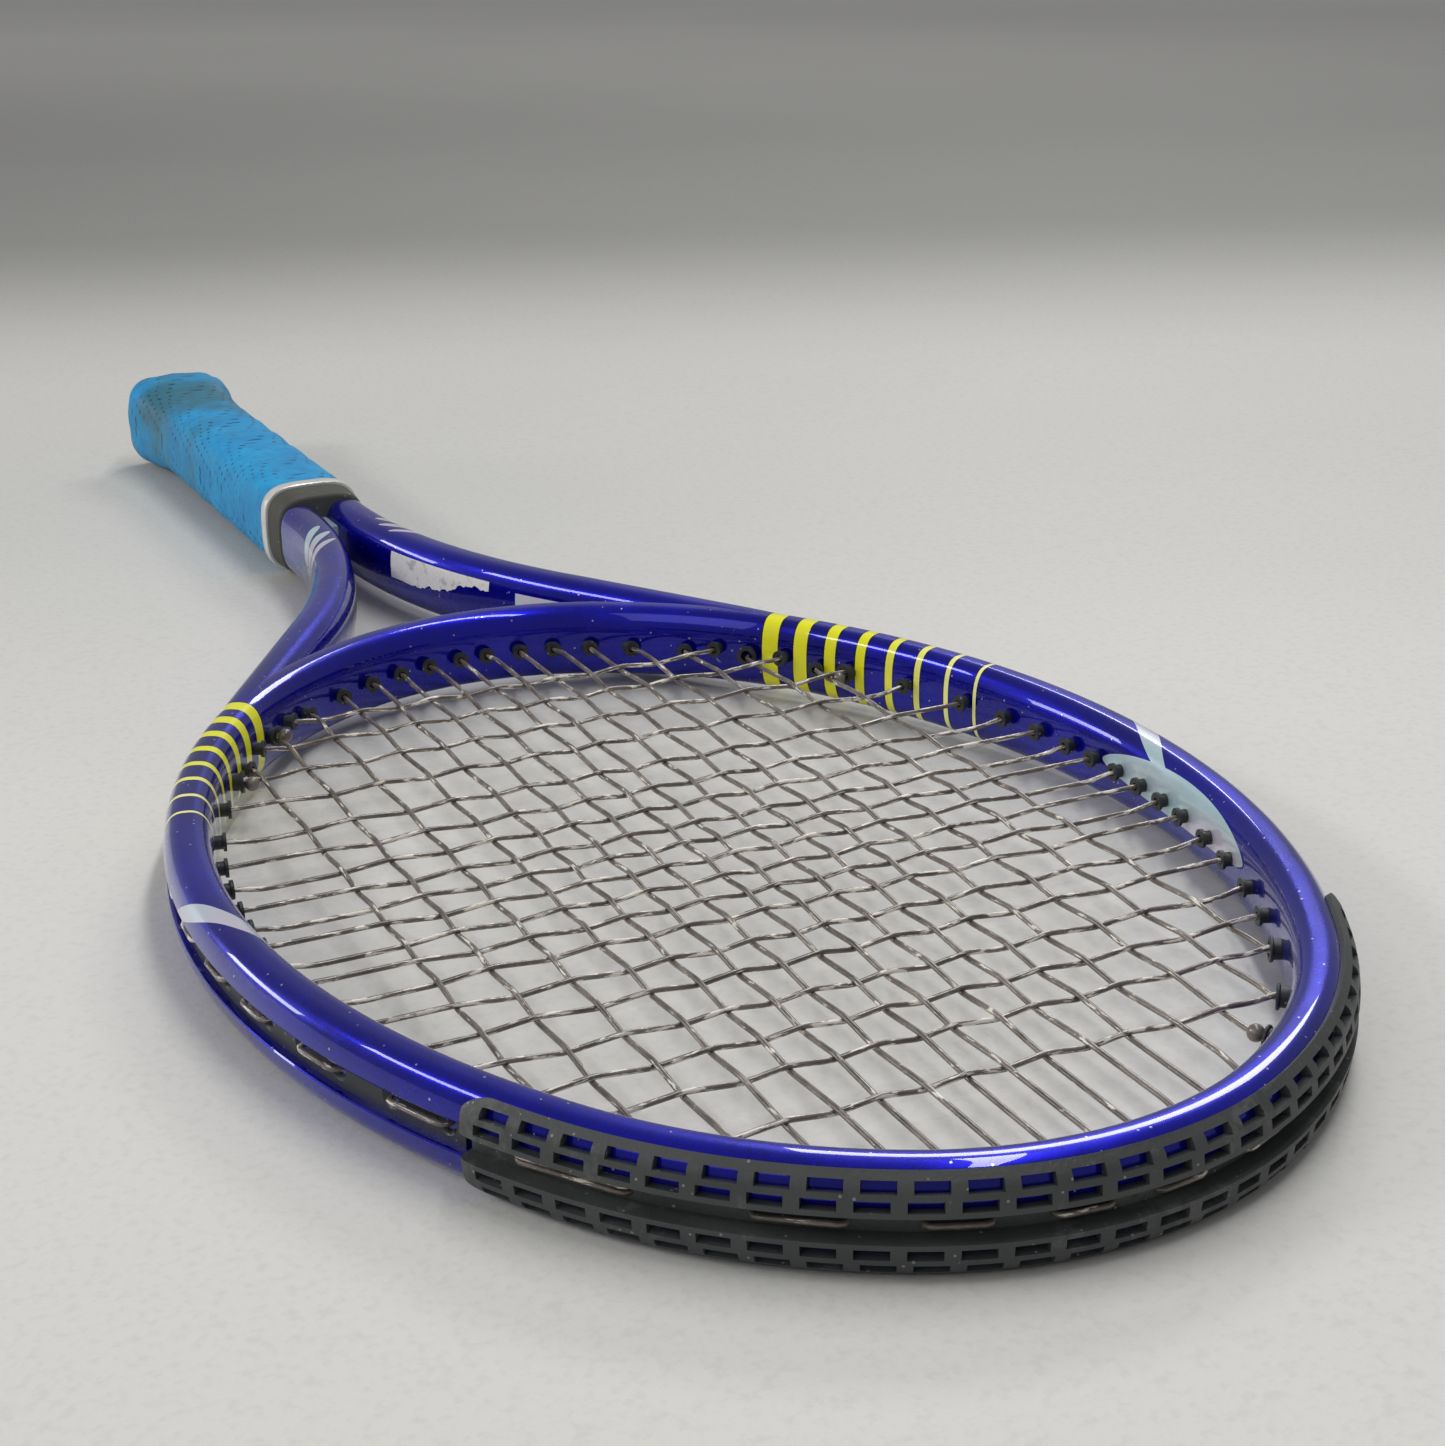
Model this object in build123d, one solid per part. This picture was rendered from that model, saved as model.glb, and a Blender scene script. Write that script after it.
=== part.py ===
"""A strung tennis racket, lying flat: +Y runs from the butt to the tip, +Z is square to the strings.

The origin is the middle of the butt's end face, and the strings lie about the plane z = 0.
The right-hand side is +X, and most pieces are made there and mirrored.
"""

import math
import os

from build123d import *

# ---- driving sizes, in millimetres ----
overall_length = 685.8  # butt face to the outermost point of the bumper
head_half_width = 118.7  # centreline of the hoop
head_half_length = 170.0
tube_width = 12.0  # hoop tube, measured in the string plane
tube_height = 21.5
tube_corner = 5.0
tube_wall = 1.4

arm_splay = 32.0  # degrees between a throat arm and the racket's axis
arm_width = 14.0  # at the throat, where the two arms leave the handle
arm_height = 23.0
arm_corner = 4.5
arm_offset = 8.5  # from the racket's axis to an arm's centreline above the handle
arm_above_collar = 3.0  # where the arms' taper starts, over the collar
arm_bend = 63.47  # tangent length of the bend from an arm's splay to the handle's direction
arm_neck = 1.0  # least parallel stretch between bend and taper
leg_corner = 3.5
leg_half_gap = 1.1  # from the racket's axis to a leg, inside the handle
leg_side_cover = 3.1  # core outside a leg, to the side and over it
leg_top_cover = 4.6
leg_floor_gap = 2.0  # between the legs' ends and the butt cap's floor
leg_taper_in = 3.0  # how far the taper from arm to leg runs on below the collar
web_inset = 2.0
web_reach = 10.0  # how far the filler between the arms rises over their taper
shoulder_length = 60.0  # how far the shoulder casting runs down the arm
shoulder_start = -23.0  # hoop angle where hoop and shoulder meet, 0 is the +X side
bridge_start = -62.0  # hoop angle where shoulder and bridge meet

handle_length = 187.0  # butt face to the grip collar
core_width = 27.6  # octagonal core under the grip
core_height = 24.2
bevel_share = 0.22  # bevel of the octagon, as a share of its height
grip_thickness = 1.7
overgrip_thickness = 0.6
tape_thickness = 0.35
tape_length = 4.0
collar_length = 12.0
collar_rib_depth = 0.5
collar_ribs = 5
collar_gap_share = 0.3  # width of the groove between two ribs, as a share of their pitch
collar_taper = 0.6

cap_length = 34.0  # how far the butt cap reaches up the core
cap_sleeve = 1.6
cap_floor = 2.2
flare_width = 7.8  # how much wider the core is at the butt
flare_height = 6.8
flare_shares = ((8.0, 1.0), (25.0, 0.5), (40.0, 0.06))  # distance from the butt, share of the flare
butt_taper = 0.5  # how much narrower the butt's end face is than the flare
grip_start = 3.0
overgrip_start = 1.5
grip_staple_place = 14.0
cap_staple_inset = 5.0
door_width = 13.0
door_height = 9.0
door_thickness = 1.5
door_clearance = 0.3
door_leg_width = 3.0
door_leg_thickness = 1.2
door_catch = 1.0  # how far the door's legs reach past the cap's floor
staple_crown = 9.0
staple_leg = 3.4
staple_wire = 0.8

groove_width = 6.4  # string groove round the outside of the hoop
groove_depth = 3.0
strip_thickness = 0.9
strip_clearance = 0.1  # between strip and groove, each side
bore_clearance = 0.35  # round the string in its own grommet
wide_clearance = 0.32  # round two strings in a shared grommet
barrel_wall = 0.7
wide_wall = 0.65
barrel_rise = 2.6  # how far a grommet stands into the head
rim_width = 0.6
rim_thickness = 0.8
bore_flare = 1.5  # widened mouth of a bore, at the groove
flare_lead = 0.3
hole_clearance = 0.05
hole_fan = 0.8  # 0 drills along the string, 1 square to the hoop

bumper_angle = 26.8  # hoop angle where the bumper starts on each side
bumper_gap = 0.4  # degrees between the bumper and a side strip
bumper_thickness = 2.3
bumper_height = 19.2
channel_width = 4.6
window_length = 6.4
window_height = 1.9
window_pitch = 9.3
window_rows = ((4.5, 0.8), (7.4, 0.92))  # height, and pitches from the bumper's end to the first window

string_diameter = 1.3
string_gap = 0.03  # mains lie this far below the middle plane, crosses above
loop_gap = 0.55  # between the strip and a loop outside it
mouth_radius = 3.0  # bend of a string at a grommet's mouth
knot_radius = 1.9
knot_gap = 0.1
# places of the mains on each side, as shares of the head's half width, and of the crosses that
# have holes of their own, as shares of its half length; the last two crosses share mains' holes
main_shares = (0.034, 0.118, 0.198, 0.282, 0.371, 0.476, 0.588, 0.694)
cross_shares = (
    -0.772, -0.676, -0.565, -0.456, -0.341, -0.250, -0.174, -0.100, -0.038,
    0.024, 0.088, 0.150, 0.212, 0.291, 0.365, 0.453, 0.535,
)
bridge_mains = 5  # mains on each side that leave through the bridge
shared_mains = 2  # outermost mains at the tip, whose holes also take a cross
tied_head_main = 5  # holes that also take a string's end, counted from the middle or the throat
tied_throat_main = 6
tied_cross = 2
label_thickness = 0.12
price_label = (12.0, 24.5, -2.0, 6.6)  # start and end angle on an arm's bend, low and high edge
seal_label = (27.3, 31.8, -1.0, 5.0)
side_strip_run = 49.0  # how far a side strip runs down the arm
throat_strip_angle = -57.8

# ---- sizes that follow ----
half_tube = tube_width / 2
head_centre = overall_length - bumper_thickness - half_tube - head_half_length
groove_floor = half_tube - groove_depth
strip_top = groove_floor + strip_thickness
strip_width = groove_width - 2 * strip_clearance
mouth_offset = -half_tube - barrel_rise
string_radius = string_diameter / 2
string_level = string_radius + string_gap
fold_radius = string_diameter  # string folded over a grommet's edge
loop_offset = strip_top + string_radius + loop_gap
barrel_bore = string_radius + bore_clearance
barrel_radius = barrel_bore + barrel_wall
wide_bore = string_level + string_radius + wide_clearance
wide_radius = wide_bore + wide_wall
leg_width = core_width / 2 - leg_side_cover - leg_half_gap
leg_height = core_height - 2 * leg_top_cover
leg_offset = leg_half_gap + leg_width / 2
over_cut = 1.0  # how far a cutting shape runs past the face that it cuts
fold_angle = 62.0  # hoop angle where its second arc gives way to the tip's arc


# ---- the hoop's centreline: an oval of tangent arcs with three radii ----
def oval_radii():
    """Side, corner and tip radius. The corner's is an ellipse's own; the other two close the oval."""
    a, b = head_half_width, head_half_length
    first, second = math.radians(arm_splay), math.radians(fold_angle)
    mid = (first + second) / 2
    corner = (a * b) ** 2 / ((a * math.cos(mid)) ** 2 + (b * math.sin(mid)) ** 2) ** 1.5
    across = a - corner * (math.cos(first) - math.cos(second))
    along = b - corner * (math.sin(second) - math.sin(first))
    m11, m12 = 1 - math.cos(first), math.cos(second)
    m21, m22 = math.sin(first), 1 - math.sin(second)
    det = m11 * m22 - m12 * m21
    return (across * m22 - along * m12) / det, corner, (along * m11 - across * m21) / det


side_radius, corner_radius, tip_radius = oval_radii()


def unit(angle):
    return Vector(math.cos(math.radians(angle)), math.sin(math.radians(angle)), 0)


def oval_arcs():
    """(start angle, end angle, centre, radius) of the eight arcs, counter-clockwise from the right."""
    first, second = arm_splay, fold_angle
    side = Vector(head_half_width - side_radius, head_centre, 0)
    corner = side + unit(first) * (side_radius - corner_radius)
    tip = Vector(0, head_centre + head_half_length - tip_radius, 0)

    def flip(v, x, y):
        return Vector(v.X * x, head_centre + (v.Y - head_centre) * y, 0)

    return [
        (-90, -second, flip(tip, 1, -1), tip_radius),
        (-second, -first, flip(corner, 1, -1), corner_radius),
        (-first, first, side, side_radius),
        (first, second, corner, corner_radius),
        (second, 180 - second, tip, tip_radius),
        (180 - second, 180 - first, flip(corner, -1, 1), corner_radius),
        (180 - first, 180 + first, flip(side, -1, 1), side_radius),
        (180 + first, 180 + second, flip(corner, -1, -1), corner_radius),
        (180 + second, 270, flip(tip, 1, -1), tip_radius),
    ]


arcs = oval_arcs()


def arc_at(angle):
    return next(arc for arc in arcs if arc[0] <= angle <= arc[1])


def oval_point(angle, offset=0.0):
    _, _, centre, radius = arc_at(angle)
    return centre + unit(angle) * (radius + offset)


def section_plane(origin, outward):
    """Local X points out of the head and local Y is +Z."""
    return Plane(origin=origin, x_dir=outward, z_dir=outward.cross(Vector(0, 0, 1)))


def ring(profile, start, end):
    """Carries a profile round the hoop from one hoop angle to another."""
    pieces = []
    for low, high, centre, radius in arcs:
        begin, finish = max(low, start), min(high, end)
        if finish - begin < 1e-6:
            continue
        plane = section_plane(centre + unit(begin) * radius, unit(begin))
        pieces.append(revolve(plane * profile, Axis(centre, (0, 0, 1)), finish - begin))
    return joined(pieces)


def joined(pieces):
    total = pieces[0]
    for piece in pieces[1:]:
        total = total + piece
    return total


# ---- the throat: a straight run from the shoulder, an arc, a taper and a leg in the handle ----
junction = oval_point(-arm_splay)
arm_out = unit(-arm_splay)
arm_down = Vector(-math.sin(math.radians(arm_splay)), -math.cos(math.radians(arm_splay)), 0)
arm_corner_run = (junction.X - arm_offset) / math.sin(math.radians(arm_splay))
arm_corner_y = junction.Y - arm_corner_run * math.cos(math.radians(arm_splay))
taper_top = handle_length + collar_length + arm_above_collar
arm_tangent = min(arm_bend, arm_corner_y - taper_top - arm_neck)  # a short throat limits the bend
arm_radius = arm_tangent / math.tan(math.radians(arm_splay / 2))
arm_straight = arm_corner_run - arm_tangent
bend_end = arm_corner_y - arm_tangent
taper_bottom = handle_length - leg_taper_in
leg_start = cap_floor + leg_floor_gap


def tube_face(width, height, corner, wall=0.0):
    return RectangleRounded(width - 2 * wall, height - 2 * wall, corner - wall)


def arm_station(distance):
    """Plane across an arm, a distance down from the junction."""
    return section_plane(junction + arm_down * distance, arm_out)


def level(y, x):
    return section_plane(Vector(x, y, 0), Vector(1, 0, 0))


def arm_section(distance, wall):
    """The arm's section, which grows from the hoop's to the arm's own down the straight run."""
    share = distance / arm_straight
    return tube_face(
        tube_width + (arm_width - tube_width) * share,
        tube_height + (arm_height - tube_height) * share,
        tube_corner + (arm_corner - tube_corner) * share,
        wall,
    )


def arm_solid(wall, start):
    """One arm and its leg on the right-hand side, shrunk by a wall: the solid or its hollow."""
    begin = arm_section(start, wall)
    full = tube_face(arm_width, arm_height, arm_corner, wall)
    leg = tube_face(leg_width, leg_height, leg_corner, wall)
    straight = loft([arm_station(start) * begin, arm_station(arm_straight) * full], ruled=True)
    bend_axis = Axis((arm_offset + arm_radius, bend_end, 0), (0, 0, 1))
    bend = revolve(arm_station(arm_straight) * full, bend_axis, arm_splay)
    neck = extrude(level(bend_end, arm_offset) * full, bend_end - taper_top, dir=(0, -1, 0))
    taper = loft([level(taper_top, arm_offset) * full, level(taper_bottom, leg_offset) * leg], ruled=True)
    down = extrude(level(taper_bottom, leg_offset) * leg, taper_bottom - leg_start, dir=(0, -1, 0))
    return joined([straight, bend, neck, taper, down])


def mirrored(shape):
    return mirror(shape, Plane.YZ)


# ---- holes and grommets ----
def crossing(along_y, value, offset, far):
    """Where the line x = value or y = value meets the offset oval, with the hoop angle there.

    far picks the end of the line at the tip or on the right.
    """
    for low, high, centre, radius in arcs:
        reach = radius + offset
        start = centre.X if along_y else centre.Y
        half_chord = reach**2 - (value - start) ** 2
        if half_chord < 0:
            continue
        step = math.sqrt(half_chord) * (1 if far else -1)
        point = Vector(value, centre.Y + step, 0) if along_y else Vector(centre.X + step, value, 0)
        angle = math.degrees(math.atan2(point.Y - centre.Y, point.X - centre.X))
        for turn in (angle, angle + 360):
            if low - 1e-9 <= turn <= high + 1e-9:
                return point, turn
    raise ValueError("a string lies outside the head")


def right_angle(angle):
    """The same hoop angle brought to the right-hand side, -90 to 90."""
    return angle if angle <= 90 else 180 - angle


class Hole:
    """One string's way through the tube: its mouth in the head and its direction outwards."""

    def __init__(self, along_y, value, far, fan=hole_fan, wide=False):
        self.mouth, self.angle = crossing(along_y, value, mouth_offset, far)
        sign = 1 if far else -1
        along = Vector(0, sign, 0) if along_y else Vector(sign, 0, 0)
        self.direction = (unit(self.angle) * fan + along * (1 - fan)).normalized()
        self.wide = wide
        self.through_bridge = fan == 0
        self.height = -string_level if along_y else string_level
        self.middle = 0 if wide else self.height

    def run_to(self, offset):
        """Length from the mouth to a given offset outside the hoop, or outside the arm past its end."""
        side = 1 if self.mouth.X > 0 else -1
        if right_angle(self.angle) < -arm_splay and not self.through_bridge:
            out = Vector(arm_out.X * side, arm_out.Y, 0)
            start = Vector(junction.X * side, junction.Y, 0)
            return (offset - (self.mouth - start).dot(out)) / self.direction.dot(out)
        _, _, centre, radius = arc_at(self.angle)
        gap = self.mouth - centre
        along = gap.dot(self.direction)
        return -along + math.sqrt(along**2 - gap.dot(gap) + (radius + offset) ** 2)

    def rod(self, radius, start, end):
        origin = self.mouth + self.direction * start + Vector(0, 0, self.middle)
        plane = Plane(origin=origin, z_dir=self.direction)
        return plane * Cylinder(radius, end - start, align=(Align.CENTER, Align.CENTER, Align.MIN))

    def barrel_size(self):
        return wide_radius if self.wide else barrel_radius

    def bore_size(self):
        return wide_bore if self.wide else barrel_bore

    def drill(self):
        return self.rod(self.barrel_size() + hole_clearance, -over_cut, self.run_to(half_tube + groove_depth))

    def barrel(self):
        shaft = self.rod(self.barrel_size(), 0, self.run_to(strip_top) - strip_thickness / 3)
        return shaft + self.rod(self.barrel_size() + rim_width, 0, rim_thickness)

    def bore(self):
        return self.rod(self.bore_size(), -over_cut, self.run_to(strip_top) + over_cut)

    def flare(self):
        """Cone that opens the bore to the groove, begun a little below the bore's edge."""
        start = self.run_to(strip_top) - bore_flare - flare_lead
        origin = self.mouth + self.direction * start + Vector(0, 0, self.middle)
        low = self.bore_size() - flare_lead
        length = 2 * bore_flare + flare_lead
        cone = Cone(low, low + length, length, align=(Align.CENTER, Align.CENTER, Align.MIN))
        return Plane(origin=origin, z_dir=self.direction) * cone


def main_hole(rank, side, far):
    """Main number rank from the middle, on one side, at the tip or the throat."""
    shared = far and rank >= len(main_shares) - shared_mains
    through_bridge = not far and rank < bridge_mains
    fan = 0 if through_bridge else 1 if shared else hole_fan
    tied = rank == (tied_head_main if far else tied_throat_main)
    return Hole(True, side * main_shares[rank] * head_half_width, far, fan, shared or tied)


ranks = range(len(main_shares))
head_mains = [main_hole(i, -1, True) for i in reversed(ranks)] + [main_hole(i, 1, True) for i in ranks]
throat_mains = [main_hole(i, -1, False) for i in reversed(ranks)] + [main_hole(i, 1, False) for i in ranks]


def cross_holes(far):
    """Throat to tip on one side; the last two pass through the outermost mains' grommets."""
    holes = [
        Hole(False, head_centre + share * head_half_length, far, wide=i == tied_cross)
        for i, share in enumerate(cross_shares)
    ]
    for rank in reversed(ranks[-shared_mains:]):
        holes.append(Hole(False, main_hole(rank, 1, True).mouth.Y, far, 1, True))
    return holes


right_crosses, left_crosses = cross_holes(True), cross_holes(False)
own_crosses = right_crosses[:-shared_mains] + left_crosses[:-shared_mains]
grommets = head_mains + throat_mains + own_crosses


def chosen(low, high, bridge=False):
    """Grommets between two right-hand hoop angles, through the bridge or not."""
    return [g for g in grommets if low < right_angle(g.angle) < high and g.through_bridge == bridge]


# ---- frame ----
def tube_profile(wall=0.0):
    return tube_face(tube_width, tube_height, tube_corner, wall)


def groove_profile(grow=0.0):
    """The string groove, or with a wall added, the space that it takes inside the tube."""
    depth = groove_depth + grow
    face = Rectangle(depth + over_cut, groove_width + 2 * grow, align=(Align.MIN, Align.CENTER))
    return Pos(half_tube - depth, 0) * face


def hollow_profile():
    return tube_profile(tube_wall) - groove_profile(tube_wall)


def head_hoop():
    profile = tube_profile() - groove_profile() - hollow_profile()
    hoop = ring(profile, shoulder_start, 180 - shoulder_start)
    return hoop - [g.drill() for g in chosen(shoulder_start, 90)]


def fork_angle():
    """Hoop angle where the arm has moved a whole tube's width away from the hoop."""
    return -arm_splay - math.degrees(math.acos(1 - tube_width / corner_radius))


def shoulder():
    """The right-hand casting where the hoop's tube forks into arm and bridge."""

    def branches(wall):
        start = arm_station(0) * arm_section(0, wall)
        end = arm_station(shoulder_length) * arm_section(shoulder_length, wall)
        return loft([start, end], ruled=True) + ring(tube_profile(wall), bridge_start, shoulder_start)

    def grooves(wall):
        arm = extrude(arm_station(0) * groove_profile(wall), shoulder_length, dir=arm_down)
        side = ring(groove_profile(wall), -arm_splay, shoulder_start)
        return arm + side + ring(groove_profile(wall), bridge_start, fork_angle())

    body = branches(0) - grooves(0) - (branches(tube_wall) - grooves(tube_wall))
    near = chosen(-90, shoulder_start) + chosen(bridge_start, shoulder_start, True)
    return body - [g.drill() for g in near if g.mouth.X > 0]


def below_bridge(profile):
    """Carries a profile round the throat end of the hoop, between the shoulders."""
    _, _, centre, radius = arcs[0]
    start = 180 - bridge_start
    plane = section_plane(centre + unit(start) * radius, unit(start))
    return revolve(plane * profile, Axis(centre, (0, 0, 1)), 180 + 2 * bridge_start)


def throat_bridge():
    bridge = below_bridge(tube_profile() - groove_profile() - hollow_profile())
    return bridge - [g.drill() for g in chosen(-90.1, bridge_start, True)]


def bridge_core():
    """Foam that the bridge was moulded on, inside its hollow."""
    return below_bridge(hollow_profile()) - [g.drill() for g in chosen(-90.1, bridge_start, True)]


def throat_arm():
    return arm_solid(0, shoulder_length) - arm_solid(tube_wall, shoulder_length)


def throat_web():
    """Filler between the arms at the crotch."""
    low, high = taper_bottom + web_inset, taper_top + web_reach
    block = Pos(0, (low + high) / 2, 0) * Box(arm_offset, high - low, arm_height / 2)
    arms = arm_solid(0, shoulder_length)
    return block - arms - mirrored(arms)


# ---- grommet strips and bumper ----
def strip_profile():
    face = Rectangle(strip_thickness, strip_width, align=(Align.MIN, Align.CENTER))
    return Pos(groove_floor, 0) * face


def with_barrels(strip, holes):
    strip = strip + [g.barrel() for g in holes]
    return strip - [g.bore() for g in holes] - [g.flare() for g in holes]


def side_strip():
    """Grommets of the right-hand side, from the bumper to the arm."""
    top = bumper_angle - bumper_gap
    arm = extrude(arm_station(0) * strip_profile(), side_strip_run, dir=arm_down)
    holes = [g for g in chosen(-90, top) if g.mouth.X > 0]
    return with_barrels(arm + ring(strip_profile(), -arm_splay, top), holes)


def throat_strip():
    right = ring(strip_profile(), -90, throat_strip_angle)
    return with_barrels(right + mirrored(right), chosen(-91, 0, True))


def bumper_profile():
    """Two wings on the tube's outside, joined through the groove by walls and a floor."""
    t = bumper_thickness
    grown = RectangleRounded(tube_width + 2 * t, tube_height + 2 * t, tube_corner + t)
    outside = Pos(half_tube + t, 0) * Rectangle(tube_width + 2 * t, bumper_height)
    wings = (grown & outside) - tube_profile()
    plug = Rectangle(groove_depth + t, strip_width, align=(Align.MIN, Align.CENTER))
    channel = Rectangle(tube_width, channel_width, align=(Align.MIN, Align.CENTER))
    return wings + Pos(groove_floor, 0) * plug - Pos(strip_top, 0) * channel


def bumper_windows():
    """Staggered rows of openings in both wings."""
    cuts = []
    for height, first_step in window_rows:
        angle = bumper_angle
        step = first_step
        while True:
            reach = arc_at(angle)[3] + half_tube
            angle += math.degrees(window_pitch * step / reach)
            step = 1.0
            if angle > 180 - bumper_angle - math.degrees(window_length / side_radius):
                break
            plane = section_plane(oval_point(angle, tube_width), unit(angle))
            for z in (height, -height):
                cuts.append(plane * Pos(0, z, 0) * Box(2 * tube_width, window_height, window_length))
    return cuts


def bumper_guard():
    shell = ring(bumper_profile(), bumper_angle, 180 - bumper_angle)
    holes = chosen(bumper_angle, 91)
    return with_barrels(shell - bumper_windows(), holes)


# ---- strings ----
def string_points(first, second, outside_next):
    """Turning points of one string: in at each hole, out, along the groove and in at the next."""
    points, radii = [], []
    count = len(first)
    for i in range(count):
        ends = (first[i], second[i])
        begin, finish = ends if (i % 2 == 0) == outside_next else ends[::-1]
        for hole, outward in ((begin, False), (finish, True)):
            mouth = hole.mouth
            loop = hole.mouth + hole.direction * hole.run_to(loop_offset)
            pair = [(mouth, mouth_radius), (loop, fold_radius)]
            for point, radius in pair if outward else pair[::-1]:
                points.append(Vector(point.X, point.Y, hole.height))
                radii.append(radius)
    return points, radii


def tie_off(points, radii, hole, at_end):
    """Brings a string's end back in through a neighbouring hole."""
    height = points[0].Z
    loop = hole.mouth + hole.direction * hole.run_to(loop_offset)
    tail = [(Vector(loop.X, loop.Y, height), fold_radius), (Vector(hole.mouth.X, hole.mouth.Y, height), 0)]
    if at_end:
        return points + [p for p, _ in tail], radii + [r for _, r in tail]
    return [p for p, _ in tail[::-1]] + points, [r for _, r in tail[::-1]] + radii


def string_solid(points, radii):
    """Sweeps a string along straight runs and tangent arcs, leaving out points that don't turn it."""
    kept = [0]
    for i in range(1, len(points) - 1):
        before, after = points[i] - points[kept[-1]], points[i + 1] - points[i]
        if before.get_angle(after) > 0.2:
            kept.append(i)
    kept.append(len(points) - 1)
    line = FilletPolyline(*[points[i] for i in kept], radius=[radii[i] for i in kept[1:-1]])
    start = Plane(origin=line @ 0, z_dir=line % 0)
    solid = sweep(start * Circle(string_radius), path=line)
    ideal = math.pi * string_radius**2 * line.length
    print("string", round(line.length), "mm, volume over section x length", round(solid.volume / ideal, 4))
    return solid


def main_route():
    """From the left tie, up and down through every main to the right tie."""
    points, radii = string_points(throat_mains, head_mains, True)
    left, right = left_crosses[tied_cross], right_crosses[tied_cross]
    points, radii = tie_off(points, radii, left, False)
    return tie_off(points, radii, right, True)


def cross_route():
    """From the tie at the throat on the right, to and fro to the tie at the tip on the left."""
    points, radii = string_points(left_crosses, right_crosses, False)
    low = throat_mains[len(ranks) + tied_throat_main]
    high = head_mains[len(ranks) - 1 - tied_head_main]
    points, radii = tie_off(points, radii, low, False)
    return tie_off(points, radii, high, True)


def string_knots():
    ties = [
        (left_crosses[tied_cross], -string_level),
        (right_crosses[tied_cross], -string_level),
        (throat_mains[len(ranks) + tied_throat_main], string_level),
        (head_mains[len(ranks) - 1 - tied_head_main], string_level),
    ]
    balls = []
    for hole, height in ties:
        centre = hole.mouth - hole.direction * (knot_radius + knot_gap)
        balls.append(Pos(centre.X, centre.Y, height) * Sphere(knot_radius))
    return Compound(children=balls)


# ---- handle ----
butt_station = (0, core_width + flare_width - butt_taper, core_height + flare_height - butt_taper)
core_stations = [
    butt_station,
    *((y, core_width + share * flare_width, core_height + share * flare_height) for y, share in flare_shares),
    (handle_length, core_width, core_height),
]


def octagon(y, width, height):
    """Eight-sided section across the handle, its bevels a share of its height."""
    bevel = bevel_share * height
    half, tall = width / 2, height / 2
    corners = [
        (half, tall - bevel), (half - bevel, tall), (bevel - half, tall), (-half, tall - bevel),
        (-half, bevel - tall), (bevel - half, -tall), (half - bevel, -tall), (half, bevel - tall),
    ]
    return make_face(level(y, 0) * Polyline(*corners, close=True))


def core_size(y):
    """Width and height of the core's outside, straight between its stations."""
    for (y0, w0, h0), (y1, w1, h1) in zip(core_stations, core_stations[1:]):
        if y0 <= y <= y1:
            share = (y - y0) / (y1 - y0)
            return w0 + (w1 - w0) * share, h0 + (h1 - h0) * share
    raise ValueError("no core at this height")


def wrap(start, end, grow):
    """Solid octagonal stretch of the handle, grown outwards by a thickness."""
    stops = [start] + [y for y, _, _ in core_stations if start < y < end] + [end]
    sections = [octagon(y, *(size + 2 * grow for size in core_size(y))) for y in stops]
    return joined([loft([low, high], ruled=True) for low, high in zip(sections, sections[1:])])


def sleeve(start, end, inner, outer):
    return wrap(start, end, outer) - wrap(start, end, inner)


def legs():
    arm = arm_solid(0, shoulder_length)
    return arm + mirrored(arm)


def stem(start, end):
    """Straight octagon that the butt cap slides over."""
    size = (core_width - 2 * cap_sleeve, core_height - 2 * cap_sleeve)
    return extrude(octagon(start, *size), end - start, dir=(0, 1, 0))


def handle_pallet():
    """Foam octagon moulded round the two legs, stepped where the butt cap goes on."""
    body = stem(leg_start, cap_length) + wrap(cap_length, handle_length, 0)
    return body - legs() - throat_web()


def butt_cap():
    cap = wrap(0, cap_length, 0) - stem(cap_floor, cap_length + over_cut)
    gap = 2 * door_clearance
    return cap - Box(door_width + gap, 2 * (cap_floor + over_cut), door_height + gap)


def butt_cap_door():
    """Snap-in door in the butt: a plate with two legs that hold it in its opening."""
    plate = Pos(0, door_thickness / 2, 0) * Box(door_width, door_thickness, door_height)
    leg_length = cap_floor + door_catch - door_thickness
    leg = Box(door_leg_width, leg_length, door_leg_thickness)
    middle, height = door_thickness + leg_length / 2, (door_height - door_leg_thickness) / 2
    return plate + [Pos(0, middle, side * height) * leg for side in (1, -1)]


def staple(origin, outward, across):
    """Wire staple lying on a face, its two legs driven in."""
    plane = Plane(origin=origin, x_dir=across, z_dir=outward)
    crown = Pos(0, 0, staple_wire / 2) * Box(staple_crown, staple_wire, staple_wire)
    leg = Box(staple_wire, staple_wire, staple_leg, align=(Align.CENTER, Align.CENTER, Align.MAX))
    ends = [Pos(side * (staple_crown - staple_wire) / 2, 0, 0) * leg for side in (1, -1)]
    return plane * (crown + ends)


def butt_cap_staples():
    """One staple on each broad face, through the cap's sleeve into the foam."""
    y = cap_length - cap_staple_inset
    height = core_size(y)[1] / 2 - staple_wire
    return Compound(children=[
        staple(Vector(0, y, side * height), Vector(0, 0, side), Vector(1, 0, 0)) for side in (1, -1)
    ])


def base_grip():
    return sleeve(grip_start, handle_length, 0, grip_thickness)


def base_grip_staple():
    """Holds the grip's starting end to the butt cap."""
    height = core_size(grip_staple_place)[1] / 2 + grip_thickness - staple_wire
    return staple(Vector(0, grip_staple_place, -height), Vector(0, 0, -1), Vector(1, 0, 0))


def overgrip():
    thickness = grip_thickness + overgrip_thickness
    return sleeve(overgrip_start, handle_length - tape_length / 2, grip_thickness, thickness)


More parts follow.
